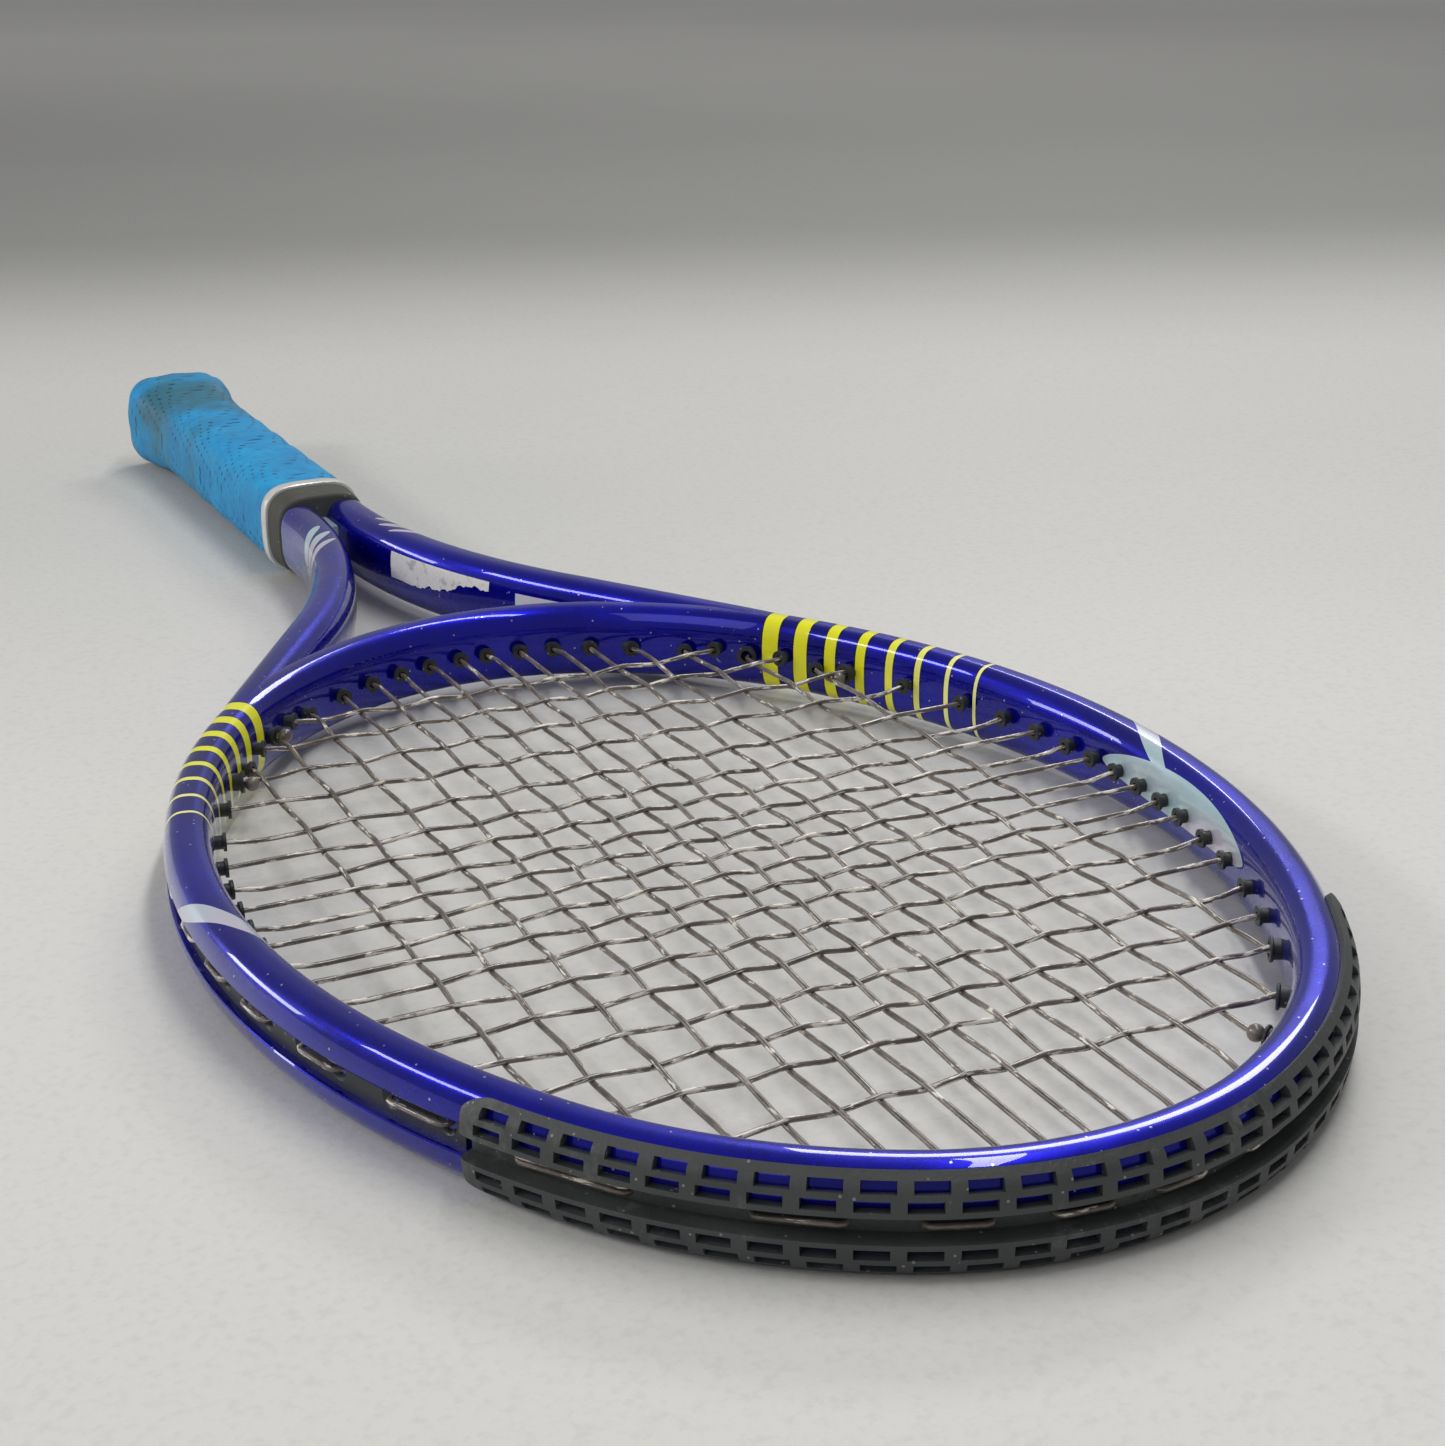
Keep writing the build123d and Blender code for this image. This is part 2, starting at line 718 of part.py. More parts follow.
def finishing_tape():
    start, middle = handle_length - tape_length, handle_length - tape_length / 2
    under = grip_thickness + overgrip_thickness
    over_wrap = sleeve(start, middle, under, under + tape_thickness)
    return over_wrap + sleeve(middle, handle_length, grip_thickness, under + tape_thickness)


def grip_collar():
    """Rubber sleeve round the top of the grip, with ribs."""
    start, end = handle_length, handle_length + collar_length
    wraps = 2 * (grip_thickness + overgrip_thickness)
    width, height = core_width + wraps, core_height + wraps
    top = octagon(end, width - collar_taper, height - collar_taper)
    body = loft([octagon(start, width, height), top], ruled=True)
    pitch = collar_length / collar_ribs
    for i in range(collar_ribs):
        y = start + (i + 0.5) * pitch
        outside = octagon(y, width + over_cut, height + over_cut)
        inside = octagon(y, width - 2 * collar_rib_depth, height - 2 * collar_rib_depth)
        body = body - extrude(outside - inside, pitch * collar_gap_share, dir=(0, 1, 0))
    return body - legs() - throat_web()


# ---- labels on the left arm's inner wall ----
def label(sizes):
    """Thin plate on the bend of the left arm, facing the other arm."""
    start, end, low, high = sizes
    wall = -arm_width / 2
    face = Pos(wall - label_thickness / 2, (low + high) / 2) * Rectangle(label_thickness, high - low)
    centre = Vector(arm_offset + arm_radius, bend_end, 0)
    out = -unit(180 - end)
    plane = section_plane(centre - out * arm_radius, out)
    return mirrored(revolve(plane * face, Axis(centre, (0, 0, 1)), end - start))


# ---- every piece, by node name ----
right_shoulder, right_arm, right_strip = shoulder(), throat_arm(), side_strip()
pieces = {
    "head_hoop": head_hoop(),
    "shoulder_right": right_shoulder,
    "shoulder_left": mirrored(right_shoulder),
    "throat_arm_right": right_arm,
    "throat_arm_left": mirrored(right_arm),
    "throat_bridge": throat_bridge(),
    "bridge_core": bridge_core(),
    "throat_web": throat_web(),
    "bumper_guard": bumper_guard(),
    "grommet_strip_right": right_strip,
    "grommet_strip_left": mirrored(right_strip),
    "grommet_strip_throat": throat_strip(),
    "main_string": string_solid(*main_route()),
    "cross_string": string_solid(*cross_route()),
    "string_knots": string_knots(),
    "handle_pallet": handle_pallet(),
    "butt_cap": butt_cap(),
    "butt_cap_door": butt_cap_door(),
    "butt_cap_staples": butt_cap_staples(),
    "base_grip": base_grip(),
    "base_grip_staple": base_grip_staple(),
    "overgrip": overgrip(),
    "finishing_tape": finishing_tape(),
    "grip_collar": grip_collar(),
    "price_label": label(price_label),
    "seal_label": label(seal_label),
}

os.makedirs("parts", exist_ok=True)
for name, shape in pieces.items():
    export_step(shape, f"parts/{name}.step")
    print(name, round(shape.volume), "mm3")
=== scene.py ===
import math

import bpy
import numpy as np
from mathutils import Matrix, Vector


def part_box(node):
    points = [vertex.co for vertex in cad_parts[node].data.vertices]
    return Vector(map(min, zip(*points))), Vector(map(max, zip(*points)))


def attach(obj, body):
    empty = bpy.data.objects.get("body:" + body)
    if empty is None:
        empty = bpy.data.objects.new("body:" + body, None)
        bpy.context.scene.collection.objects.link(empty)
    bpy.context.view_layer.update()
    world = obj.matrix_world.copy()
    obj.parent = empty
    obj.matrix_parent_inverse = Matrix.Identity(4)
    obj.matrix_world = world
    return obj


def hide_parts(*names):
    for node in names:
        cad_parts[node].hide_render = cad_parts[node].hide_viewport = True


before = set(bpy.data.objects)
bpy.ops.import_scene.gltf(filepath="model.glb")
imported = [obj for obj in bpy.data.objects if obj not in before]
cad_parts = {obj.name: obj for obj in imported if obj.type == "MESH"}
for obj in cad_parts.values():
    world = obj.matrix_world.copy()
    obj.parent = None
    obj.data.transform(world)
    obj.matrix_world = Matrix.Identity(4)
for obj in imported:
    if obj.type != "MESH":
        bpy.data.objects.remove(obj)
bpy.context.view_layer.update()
print("frame loaded:", len(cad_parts), "nodes")

mm = 0.001
random = np.random.default_rng(11)

# the racket's own lines, in millimetres: +Y runs from butt to tip, +Z is square to the strings
racket = {
    "halfWidth": 118.7,      # oval centreline
    "halfLength": 170.0,
    "tubeHalf": (6.0, 10.75),
    "armHalf": (7.0, 11.5),
    "squareness": 2.7,       # superellipse power of the tube
    "splay": 32.0,           # degrees, where side and corner arcs meet and the arms leave
    "fold": 62.0,            # degrees, where corner and tip arcs meet
    "armOffset": 8.5,
    "legOffset": 5.9,
    "legHalf": (4.8, 7.5),
    "bendEnd": 204.0,        # heights along the handle where an arm's bend ends and its taper runs
    "taperTop": 202.0,
    "taperBottom": 184.0,
    "grooveHalf": 3.2,
    "grooveDepth": 3.0,
    "stripTop": 3.9,         # top of the grommet strip, out from the oval
    "bumperProud": 2.3,
    "barrelRise": 2.6,
}
# how finely a line is sampled where it is measured or searched
sampling = {"stations": 4001, "side": 7201, "meeting": 20001, "polar": 7200, "guard": 6001, "handle": 809}
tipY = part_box("bumper_guard")[1].y / mm
centreY = tipY - racket["bumperProud"] - racket["tubeHalf"][0] - racket["halfLength"]


def ovalArcs():
    # five tangent arcs a side close the oval: end angle, centre and radius of each, from -90 to 270
    a, b = racket["halfWidth"], racket["halfLength"]
    first, second = math.radians(racket["splay"]), math.radians(racket["fold"])
    mid = (first + second) / 2
    corner = (a * b) ** 2 / ((a * math.cos(mid)) ** 2 + (b * math.sin(mid)) ** 2) ** 1.5
    matrix = [[1 - math.cos(first), math.cos(second)], [math.sin(first), 1 - math.sin(second)]]
    rest = [
        a - corner * (math.cos(first) - math.cos(second)),
        b - corner * (math.sin(second) - math.sin(first)),
    ]
    side, tip = np.linalg.solve(matrix, rest)
    sideX = a - side
    cornerX, cornerY = sideX + (side - corner) * math.cos(first), (side - corner) * math.sin(first)
    tipCentre = b - tip
    s, f = racket["splay"], racket["fold"]
    rows = [
        (-f, 0, -tipCentre, tip), (-s, cornerX, -cornerY, corner), (s, sideX, 0, side),
        (f, cornerX, cornerY, corner), (180 - f, 0, tipCentre, tip), (180 - s, -cornerX, cornerY, corner),
        (180 + s, -sideX, 0, side), (180 + f, -cornerX, -cornerY, corner), (270, 0, -tipCentre, tip),
    ]
    return np.array(rows)


arcs = ovalArcs()
arcs[:, 2] += centreY


def outwardAt(angle):
    turn = np.radians(angle)
    return np.stack([np.cos(turn), np.sin(turn), np.zeros_like(turn)], -1)


def arcAt(angle):
    which = np.clip(np.searchsorted(arcs[:, 0], angle), 0, len(arcs) - 1)
    centre = np.stack([arcs[which, 1], arcs[which, 2], np.zeros(np.shape(which))], -1)
    return centre, arcs[which, 3]


def ovalAt(angle, offset=0.0):
    # a point of the oval is its arc's centre plus the outward direction times radius and offset
    centre, radius = arcAt(angle)
    return centre + outwardAt(angle) * (radius + offset)[..., None]


def ovalStations(start, end, step):
    # angles about one step of length apart along the oval
    fine = np.linspace(start, end, sampling["stations"])
    middle = (fine[1:] + fine[:-1]) / 2
    length = np.concatenate([[0], np.cumsum(arcAt(middle)[1] * np.radians(np.diff(fine)))])
    return np.interp(np.linspace(0, length[-1], max(2, int(length[-1] / step))), length, fine)


sideAngles = np.linspace(-90, 90, sampling["side"])
sideLengths = np.cumsum(arcAt(sideAngles)[1]) * math.radians(sideAngles[1] - sideAngles[0])
sideLengths -= np.interp(0, sideAngles, sideLengths)


def lengthFromSide(angle):
    # distance along the oval from its widest point: positive to the tip, negative to the throat
    folded = np.where(angle > 90, 180 - angle, angle)
    return np.interp(folded, sideAngles, sideLengths)


splay = math.radians(racket["splay"])
junction = ovalAt(np.array(-racket["splay"]))
junctionLength = float(lengthFromSide(np.array(-racket["splay"])))
armOut = outwardAt(np.array(-racket["splay"]))
armDown = np.array([-math.sin(splay), -math.cos(splay), 0.0])
armRun = (junction[0] - racket["armOffset"]) / math.sin(splay)
armTangent = junction[1] - armRun * math.cos(splay) - racket["bendEnd"]
armRadius = armTangent / math.tan(splay / 2)
armStraight = armRun - armTangent
bendCentre = np.array([racket["armOffset"] + armRadius, racket["bendEnd"], 0.0])
bendLength = armRadius * splay


def armLine(distance):
    # right arm's centreline and outward direction: a straight run, an arc, then a taper and a leg
    d = distance[:, None]
    straight = junction + armDown * d
    turn = np.clip((distance - armStraight) / armRadius, 0, splay)
    angle = math.pi - splay + turn
    out = -np.stack([np.cos(angle), np.sin(angle), np.zeros_like(angle)], -1)
    bend = bendCentre - out * armRadius
    beyond = np.maximum(distance - armStraight - bendLength, 0)
    neck = racket["bendEnd"] - racket["taperTop"]
    share = np.clip((beyond - neck) / (racket["taperTop"] - racket["taperBottom"]), 0, 1)
    bend[:, 1] -= beyond
    bend[:, 0] -= share * (racket["armOffset"] - racket["legOffset"])
    points = np.where(d < armStraight, straight, bend)
    outs = np.where(d < armStraight, np.broadcast_to(armOut, bend.shape), out)
    grow = np.clip(distance / armStraight, 0, 1)
    half = [
        t + (a - t) * grow + (l - a) * share
        for t, a, l in zip(racket["tubeHalf"], racket["armHalf"], racket["legHalf"])
    ]
    return points, outs, half


def superellipse(turn, halfWidth, halfHeight, power):
    # |x/a|^n + |z/b|^n = 1, walked by angle
    c, s = np.cos(turn), np.sin(turn)
    x = halfWidth * np.sign(c) * np.abs(c) ** (2 / power)
    z = halfHeight * np.sign(s) * np.abs(s) ** (2 / power)
    return x, z


def smoothStep(value, low, high):
    t = np.clip((value - low) / (high - low), 0, 1)
    return t * t * (3 - 2 * t)


def gridMesh(name, points, closeAlong=False, closeRound=False, uv=None, caps=False, smooth=35, flip=False):
    # joins a grid of points (along, round, 3) in millimetres into quads, in whole arrays
    rows, cols = points.shape[:2]
    i = np.arange(rows if closeAlong else rows - 1)[:, None]
    j = np.arange(cols if closeRound else cols - 1)[None, :]
    i2, j2 = (i + 1) % rows, (j + 1) % cols
    quads = np.stack(np.broadcast_arrays(i * cols + j, i2 * cols + j, i2 * cols + j2, i * cols + j2), -1)
    faces = quads.reshape(-1, 4)
    vertices = points.reshape(-1, 3) * mm
    loopUv = None
    if uv is not None:
        along, around = uv
        corners = [(i, j), (i + 1, j), (i + 1, j + 1), (i, j + 1)]
        loopUv = np.stack(
            [np.stack(np.broadcast_arrays(along[a], around[b]), -1) for a, b in corners], 2
        ).reshape(-1, 2)
    if flip:
        faces = faces[:, ::-1]
        if loopUv is not None:
            loopUv = loopUv.reshape(-1, 4, 2)[:, ::-1].reshape(-1, 2)
    faceList = [faces]
    if caps:
        middles = points[[0, -1]].mean(1) * mm
        base = len(vertices)
        vertices = np.vstack([vertices, middles])
        ring = np.arange(cols)
        nextRing = (ring + 1) % cols
        start = np.stack([np.full(cols, base), ring, nextRing], -1)
        last = (rows - 1) * cols
        end = np.stack([np.full(cols, base + 1), last + nextRing, last + ring], -1)
        if flip:
            start, end = start[:, ::-1], end[:, ::-1]
        faceList += [start, end]
    return meshFrom(name, vertices, faceList, loopUv, smooth)


def meshFrom(name, vertices, faceList, loopUv=None, smooth=35):
    mesh = bpy.data.meshes.new(name)
    sizes = np.concatenate([np.full(len(f), f.shape[1]) for f in faceList])
    loops = np.concatenate([f.ravel() for f in faceList])
    mesh.vertices.add(len(vertices))
    mesh.vertices.foreach_set("co", np.ascontiguousarray(vertices, np.float32).ravel())
    mesh.loops.add(len(loops))
    mesh.loops.foreach_set("vertex_index", loops.astype(np.int32))
    mesh.polygons.add(len(sizes))
    mesh.polygons.foreach_set("loop_start", np.concatenate([[0], np.cumsum(sizes)[:-1]]).astype(np.int32))
    mesh.update(calc_edges=True)
    mesh.validate()
    if loopUv is not None:
        full = np.zeros((len(loops), 2), np.float32)
        full[: len(loopUv)] = loopUv
        mesh.uv_layers.new(name="surface").data.foreach_set("uv", full.ravel())
    mesh.polygons.foreach_set("use_smooth", np.ones(len(sizes), bool))
    mesh.set_sharp_from_angle(angle=math.radians(smooth))
    obj = bpy.data.objects.new(name, mesh)
    bpy.context.scene.collection.objects.link(obj)
    return obj


def finished(obj, material, nodes=(), body="racket"):
    obj.data.materials.clear()
    obj.data.materials.append(material)
    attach(obj, body)
    if nodes:
        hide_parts(*nodes)
    print("piece", obj.name, len(obj.data.polygons), "faces")
    return obj


def dress(names, material):
    # nodes of the CAD model that stay as they are take a material
    for name in names:
        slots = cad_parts[name].data.materials
        slots.clear()
        slots.append(material)


def carried(centres, outs, profile):
    # profile (along, round, 2) in local out and up, carried along centres
    up = np.array([0.0, 0.0, 1.0])
    return centres[:, None, :] + outs[:, None, :] * profile[..., :1] + up * profile[..., 1:]


def mirrored(points):
    return points * np.array([-1.0, 1.0, 1.0])


def addNode(tree, kind, inputs=None, **settings):
    node = tree.nodes.new(kind)
    for key, value in settings.items():
        setattr(node, key, value)
    for key, value in (inputs or {}).items():
        if isinstance(value, bpy.types.NodeSocket):
            tree.links.new(value, node.inputs[key])
        else:
            node.inputs[key].default_value = value
    return node


def maths(tree, operation, *values):
    return addNode(tree, "ShaderNodeMath", dict(enumerate(values)), operation=operation).outputs[0]


def vectorMaths(tree, operation, *values, output=0):
    return addNode(tree, "ShaderNodeVectorMath", dict(enumerate(values)), operation=operation).outputs[output]


def largest(tree, values):
    # greatest of several masks
    total = values[0]
    for value in values[1:]:
        total = maths(tree, "MAXIMUM", total, value)
    return total


def mixColour(tree, factor, a, b, blend="MIX"):
    node = addNode(tree, "ShaderNodeMix", data_type="RGBA", blend_type=blend)
    for key, value in ((0, factor), (6, a), (7, b)):
        if isinstance(value, bpy.types.NodeSocket):
            tree.links.new(value, node.inputs[key])
        else:
            node.inputs[key].default_value = value
    return node.outputs[2]


def ranged(tree, value, low, high, toLow=0.0, toHigh=1.0):
    inputs = {"Value": value, "From Min": low, "From Max": high, "To Min": toLow, "To Max": toHigh}
    return addNode(tree, "ShaderNodeMapRange", inputs, interpolation_type="SMOOTHSTEP").outputs[0]


def noise(tree, vector, scale, detail=3.0, roughness=0.55, distortion=0.0):
    inputs = {"Vector": vector, "Scale": scale, "Detail": detail}
    inputs |= {"Roughness": roughness, "Distortion": distortion}
    return addNode(tree, "ShaderNodeTexNoise", inputs).outputs["Fac"]


def stretched(tree, vector, scale):
    return addNode(tree, "ShaderNodeMapping", {"Vector": vector, "Scale": scale}).outputs[0]


def colour(r, g, b):
    # screen colour 0-255 to scene colour
    share = [v / 255 for v in (r, g, b)]
    return tuple(v / 12.92 if v <= 0.04045 else ((v + 0.055) / 1.055) ** 2.4 for v in share) + (1.0,)


def shaded(tree, value, stops):
    # colours between named stops of a value
    ramp = addNode(tree, "ShaderNodeValToRGB", {"Fac": value})
    elements = ramp.color_ramp.elements
    for element, (spot, shade) in zip(elements, (stops[0], stops[-1])):
        element.position, element.color = spot, colour(*shade)
    for spot, shade in stops[1:-1]:
        elements.new(spot).color = colour(*shade)
    return ramp.outputs[0]


def newMaterial(name, **values):
    material = bpy.data.materials.new(name)
    material.use_nodes = True
    tree = material.node_tree
    shader = tree.nodes["Principled BSDF"]
    for key, value in values.items():
        shader.inputs[key.replace("_", " ")].default_value = value
    place = addNode(tree, "ShaderNodeTexCoord")
    return material, tree, shader, place


def bump(tree, shader, height, strength, distance):
    node = addNode(tree, "ShaderNodeBump", {"Height": height, "Strength": strength, "Distance": distance})
    tree.links.new(node.outputs[0], shader.inputs["Normal"])


def newGroup(name, inputs, outputs):
    tree = bpy.data.node_groups.new(name, "ShaderNodeTree")
    for label, kind, value in inputs:
        socket = tree.interface.new_socket(label, in_out="INPUT", socket_type=kind)
        if value is not None:
            socket.default_value = value
    for label in outputs:
        tree.interface.new_socket(label, in_out="OUTPUT", socket_type="NodeSocketFloat")
    start = tree.nodes.new("NodeGroupInput")
    end = tree.nodes.new("NodeGroupOutput")
    return tree, start, end


def useGroup(tree, group, inputs):
    node = tree.nodes.new("ShaderNodeGroup")
    node.node_tree = group
    for key, value in inputs.items():
        if isinstance(value, bpy.types.NodeSocket):
            tree.links.new(value, node.inputs[key])
        else:
            node.inputs[key].default_value = value
    return node


vectorSocket, numberSocket = "NodeSocketVector", "NodeSocketFloat"
strokeInputs = ("Start", "End", "A", "B", "C", "Half")
# shares of a group's own scale, and the levels its masks are cut at
wear = {
    "scuffBroad": 0.14,
    "scuffShare": 0.5,
    "scuffLevel": (0.75, 0.35),
    "scuffEdge": 0.08,
    "scratchStretch": (1.0, 0.16, 1.0),
    "scratchWidth": 0.004,
    "scratchBreak": 1.7,
    "scratchLevel": (0.8, 0.3),
    "scratchEdge": 0.04,
    "dustPick": 400.0,
    "dustKeep": (0.58, 0.6),
    "strokeTaper": 0.6,
}


def makeScuffs():
    # patchy worn spots: fine noise cut by a broad one
    inputs = [("Vector", vectorSocket, None), ("Scale", numberSocket, 60.0), ("Amount", numberSocket, 0.5)]
    tree, start, end = newGroup("scuffs", inputs, ["Mask", "Height"])
    vector, scale, amount = start.outputs[0], start.outputs[1], start.outputs[2]
    broad = noise(tree, vector, maths(tree, "MULTIPLY", scale, wear["scuffBroad"]), 2.0)
    fine = noise(tree, vector, scale, 5.0, 0.7)
    halves = [maths(tree, "MULTIPLY", part, wear["scuffShare"]) for part in (broad, fine)]
    most, drop = wear["scuffLevel"]
    edge = maths(tree, "SUBTRACT", most, maths(tree, "MULTIPLY", amount, drop))
    over = maths(tree, "SUBTRACT", maths(tree, "ADD", *halves), edge)
    mask = ranged(tree, over, 0.0, wear["scuffEdge"])
    tree.links.new(mask, end.inputs["Mask"])
    tree.links.new(fine, end.inputs["Height"])
    return tree


def makeScratches():
    # hair-thin lines: a stretched noise near its middle value, broken up by a second noise
    inputs = [("Vector", vectorSocket, None), ("Scale", numberSocket, 40.0), ("Amount", numberSocket, 0.5)]
    tree, start, end = newGroup("scratches", inputs, ["Mask"])
    vector, scale, amount = start.outputs[0], start.outputs[1], start.outputs[2]
    lines = noise(tree, stretched(tree, vector, wear["scratchStretch"]), scale, 1.0, 0.4, 0.6)
    near = maths(tree, "ABSOLUTE", maths(tree, "SUBTRACT", lines, 0.5))
    thin = ranged(tree, near, 0.0, wear["scratchWidth"], 1.0, 0.0)
    broken = noise(tree, vector, maths(tree, "MULTIPLY", scale, wear["scratchBreak"]), 2.0)
    most, drop = wear["scratchLevel"]
    level = maths(tree, "SUBTRACT", most, maths(tree, "MULTIPLY", amount, drop))
    gate = ranged(tree, maths(tree, "SUBTRACT", broken, level), 0.0, wear["scratchEdge"])
    tree.links.new(maths(tree, "MULTIPLY", thin, gate), end.inputs["Mask"])
    return tree


def makeDust():
    # sparse round specks at the cell points of a voronoi pattern
    inputs = [("Vector", vectorSocket, None), ("Scale", numberSocket, 300.0), ("Size", numberSocket, 0.1)]
    tree, start, end = newGroup("dust", inputs, ["Mask"])
    cells = addNode(tree, "ShaderNodeTexVoronoi", {"Vector": start.outputs[0], "Scale": start.outputs[1]})
    pick = noise(tree, cells.outputs["Position"], wear["dustPick"], 0.0)
    keep = ranged(tree, pick, *wear["dustKeep"])
    near = maths(tree, "LESS_THAN", cells.outputs["Distance"], start.outputs[2])
    tree.links.new(maths(tree, "MULTIPLY", near, keep), end.inputs["Mask"])
    return tree


def makeStroke():
    # a tapered band along a curve v = a + b u + c u^2, from one u to another
    inputs = [(name, numberSocket, 0.0) for name in ("U", "V", *strokeInputs)]
    tree, start, end = newGroup("stroke", inputs, ["Mask"])
    u, v, low, high, a, b, c, half = (start.outputs[n] for n in range(8))
    curve = maths(tree, "MULTIPLY_ADD", maths(tree, "MULTIPLY_ADD", c, u, b), u, a)
    share = maths(tree, "DIVIDE", maths(tree, "SUBTRACT", u, low), maths(tree, "SUBTRACT", high, low))
    rest = maths(tree, "SUBTRACT", 1.0, share)
    # 4 s (1 - s) is 1 in the middle of the stroke and 0 at its ends
    bulge = maths(tree, "MULTIPLY", maths(tree, "MULTIPLY", share, rest), 4.0)
    taper = maths(tree, "POWER", maths(tree, "MAXIMUM", bulge, 0.0), wear["strokeTaper"])
    width = maths(tree, "MULTIPLY", half, taper)
    off = maths(tree, "ABSOLUTE", maths(tree, "SUBTRACT", v, curve))
    tree.links.new(maths(tree, "LESS_THAN", off, width), end.inputs["Mask"])
    return tree


groups = {"scuffs": makeScuffs(), "scratches": makeScratches(), "dust": makeDust(), "stroke": makeStroke()}

paint = {
    "blue": colour(6, 8, 180),
    "deep": colour(8, 5, 108),
    "yellow": colour(240, 238, 40),
    "cream": colour(250, 246, 170),
    "outline": colour(14, 12, 60),
    "chip": colour(225, 225, 205),
    # middle of each band along the frame from its widest point, and its width, in millimetres
    "bands": [
        (-57.5, 1.2), (-68.3, 1.6), (-79.3, 2.1), (-89.5, 2.6),
        (-99.9, 3.2), (-110.5, 3.8), (-120.8, 4.5), (-131.2, 5.3),
    ],
    "bandOutline": 0.45,
    "bandFade": (-0.1, -0.06),   # where yellow bands turn to cream ones, in metres
    "metallic": 0.62,
    "flakeScale": 2600.0,
    "flakeShare": 0.35,
    "cloudScale": 18.0,
    "foilStretch": (30.0, 12.0, 30.0),
    "foilShades": [
        (0.3, (215, 216, 214)), (0.45, (216, 206, 224)), (0.55, (190, 220, 226)), (0.7, (205, 210, 222)),
    ],
    "foilGloss": 0.45,       # how much of the metal's look the strokes lose
    "chips": {"Scale": 430.0, "Size": 0.12},
    "chipShare": 0.5,
    "scratches": {"Scale": 45.0, "Amount": 0.4},
    "scratchShare": 0.35,
    "haze": (70.0, 0.24, 0.4),   # noise scale, least and most roughness
    "ripple": (260.0, 0.15),
    "bump": (0.25, 0.00012),
    # decorative strokes: start, end, a, b, c, half width, in metres of surface
    "strokes": [
        (-0.02, 0.03, 0.0175, -0.46, 0.0, 0.0026),
        (-0.004, 0.074, 0.0016, 0.06, -0.6, 0.0058),
        (-0.304, -0.274, 0.196, 0.6, 0.0, 0.0029),
        (-0.297, -0.266, 0.190, 0.6, 0.0, 0.0024),
        (-0.289, -0.261, 0.1845, 0.6, 0.0, 0.0017),
    ],
}


def framePaint():
    material, tree, shader, place = newMaterial(
        "framePaint", Metallic=paint["metallic"], Roughness=0.3, Specular_IOR_Level=0.12,
        Coat_Weight=1.0, Coat_Roughness=0.02, Coat_IOR=1.4,
    )
    position = place.outputs["Object"]
    uv = addNode(tree, "ShaderNodeUVMap", uv_map="surface")
    split = addNode(tree, "ShaderNodeSeparateXYZ", {"Vector": uv.outputs[0]})
    u, v = split.outputs[0], split.outputs[1]
    # flake: tiny cells that brighten and darken the blue a little
    flake = addNode(tree, "ShaderNodeTexVoronoi", {"Vector": position, "Scale": paint["flakeScale"]})
    flakeValue = addNode(tree, "ShaderNodeSeparateColor", {"Color": flake.outputs["Color"]}).outputs[0]
    cloud = noise(tree, position, paint["cloudScale"], 2.0)
    flecks = maths(tree, "MULTIPLY", flakeValue, paint["flakeShare"])
    blend = ranged(tree, maths(tree, "ADD", flecks, cloud), 0.25, 1.0)
    base = mixColour(tree, blend, paint["deep"], paint["blue"])
    masks = []
    for more in (0, paint["bandOutline"]):
        near = [maths(tree, "COMPARE", u, y * mm, (width / 2 + more) * mm) for y, width in paint["bands"]]
        masks.append(largest(tree, near))
    bandMask, lineMask = masks
    fade = ranged(tree, u, *paint["bandFade"])
    bandColour = mixColour(tree, fade, paint["yellow"], paint["cream"])
    base = mixColour(tree, lineMask, base, paint["outline"])
    base = mixColour(tree, bandMask, base, bandColour)
    strokes = []
    for stroke in paint["strokes"]:
        inputs = {"U": u, "V": v} | dict(zip(strokeInputs, stroke))
        strokes.append(useGroup(tree, groups["stroke"], inputs).outputs["Mask"])
    strokeMask = largest(tree, strokes)
    drift = noise(tree, stretched(tree, position, paint["foilStretch"]), 1.0, 1.0)
    base = mixColour(tree, strokeMask, base, shaded(tree, drift, paint["foilShades"]))
    chips = useGroup(tree, groups["dust"], {"Vector": position} | paint["chips"]).outputs["Mask"]
    scratches = useGroup(tree, groups["scratches"], {"Vector": position} | paint["scratches"]).outputs["Mask"]
    paleMarks = maths(
        tree, "MAXIMUM",
        maths(tree, "MULTIPLY", chips, paint["chipShare"]),
        maths(tree, "MULTIPLY", scratches, paint["scratchShare"]),
    )
    base = mixColour(tree, paleMarks, base, paint["chip"])
    tree.links.new(base, shader.inputs["Base Color"])
    printed = maths(tree, "MAXIMUM", bandMask, maths(tree, "MULTIPLY", strokeMask, paint["foilGloss"]))
    bare = maths(tree, "SUBTRACT", 1.0, printed)
    tree.links.new(maths(tree, "MULTIPLY", bare, paint["metallic"]), shader.inputs["Metallic"])
    hazeScale, smooth, dull = paint["haze"]
    haze = noise(tree, position, hazeScale, 4.0)
    tree.links.new(ranged(tree, haze, 0.3, 0.8, smooth, dull), shader.inputs["Roughness"])
    rippleScale, rippleShare = paint["ripple"]
    ripple = noise(tree, position, rippleScale, 2.0)
    height = maths(tree, "SUBTRACT", maths(tree, "MULTIPLY", ripple, rippleShare), paleMarks)
    bump(tree, shader, height, *paint["bump"])
    return material


framePaintMaterial = framePaint()


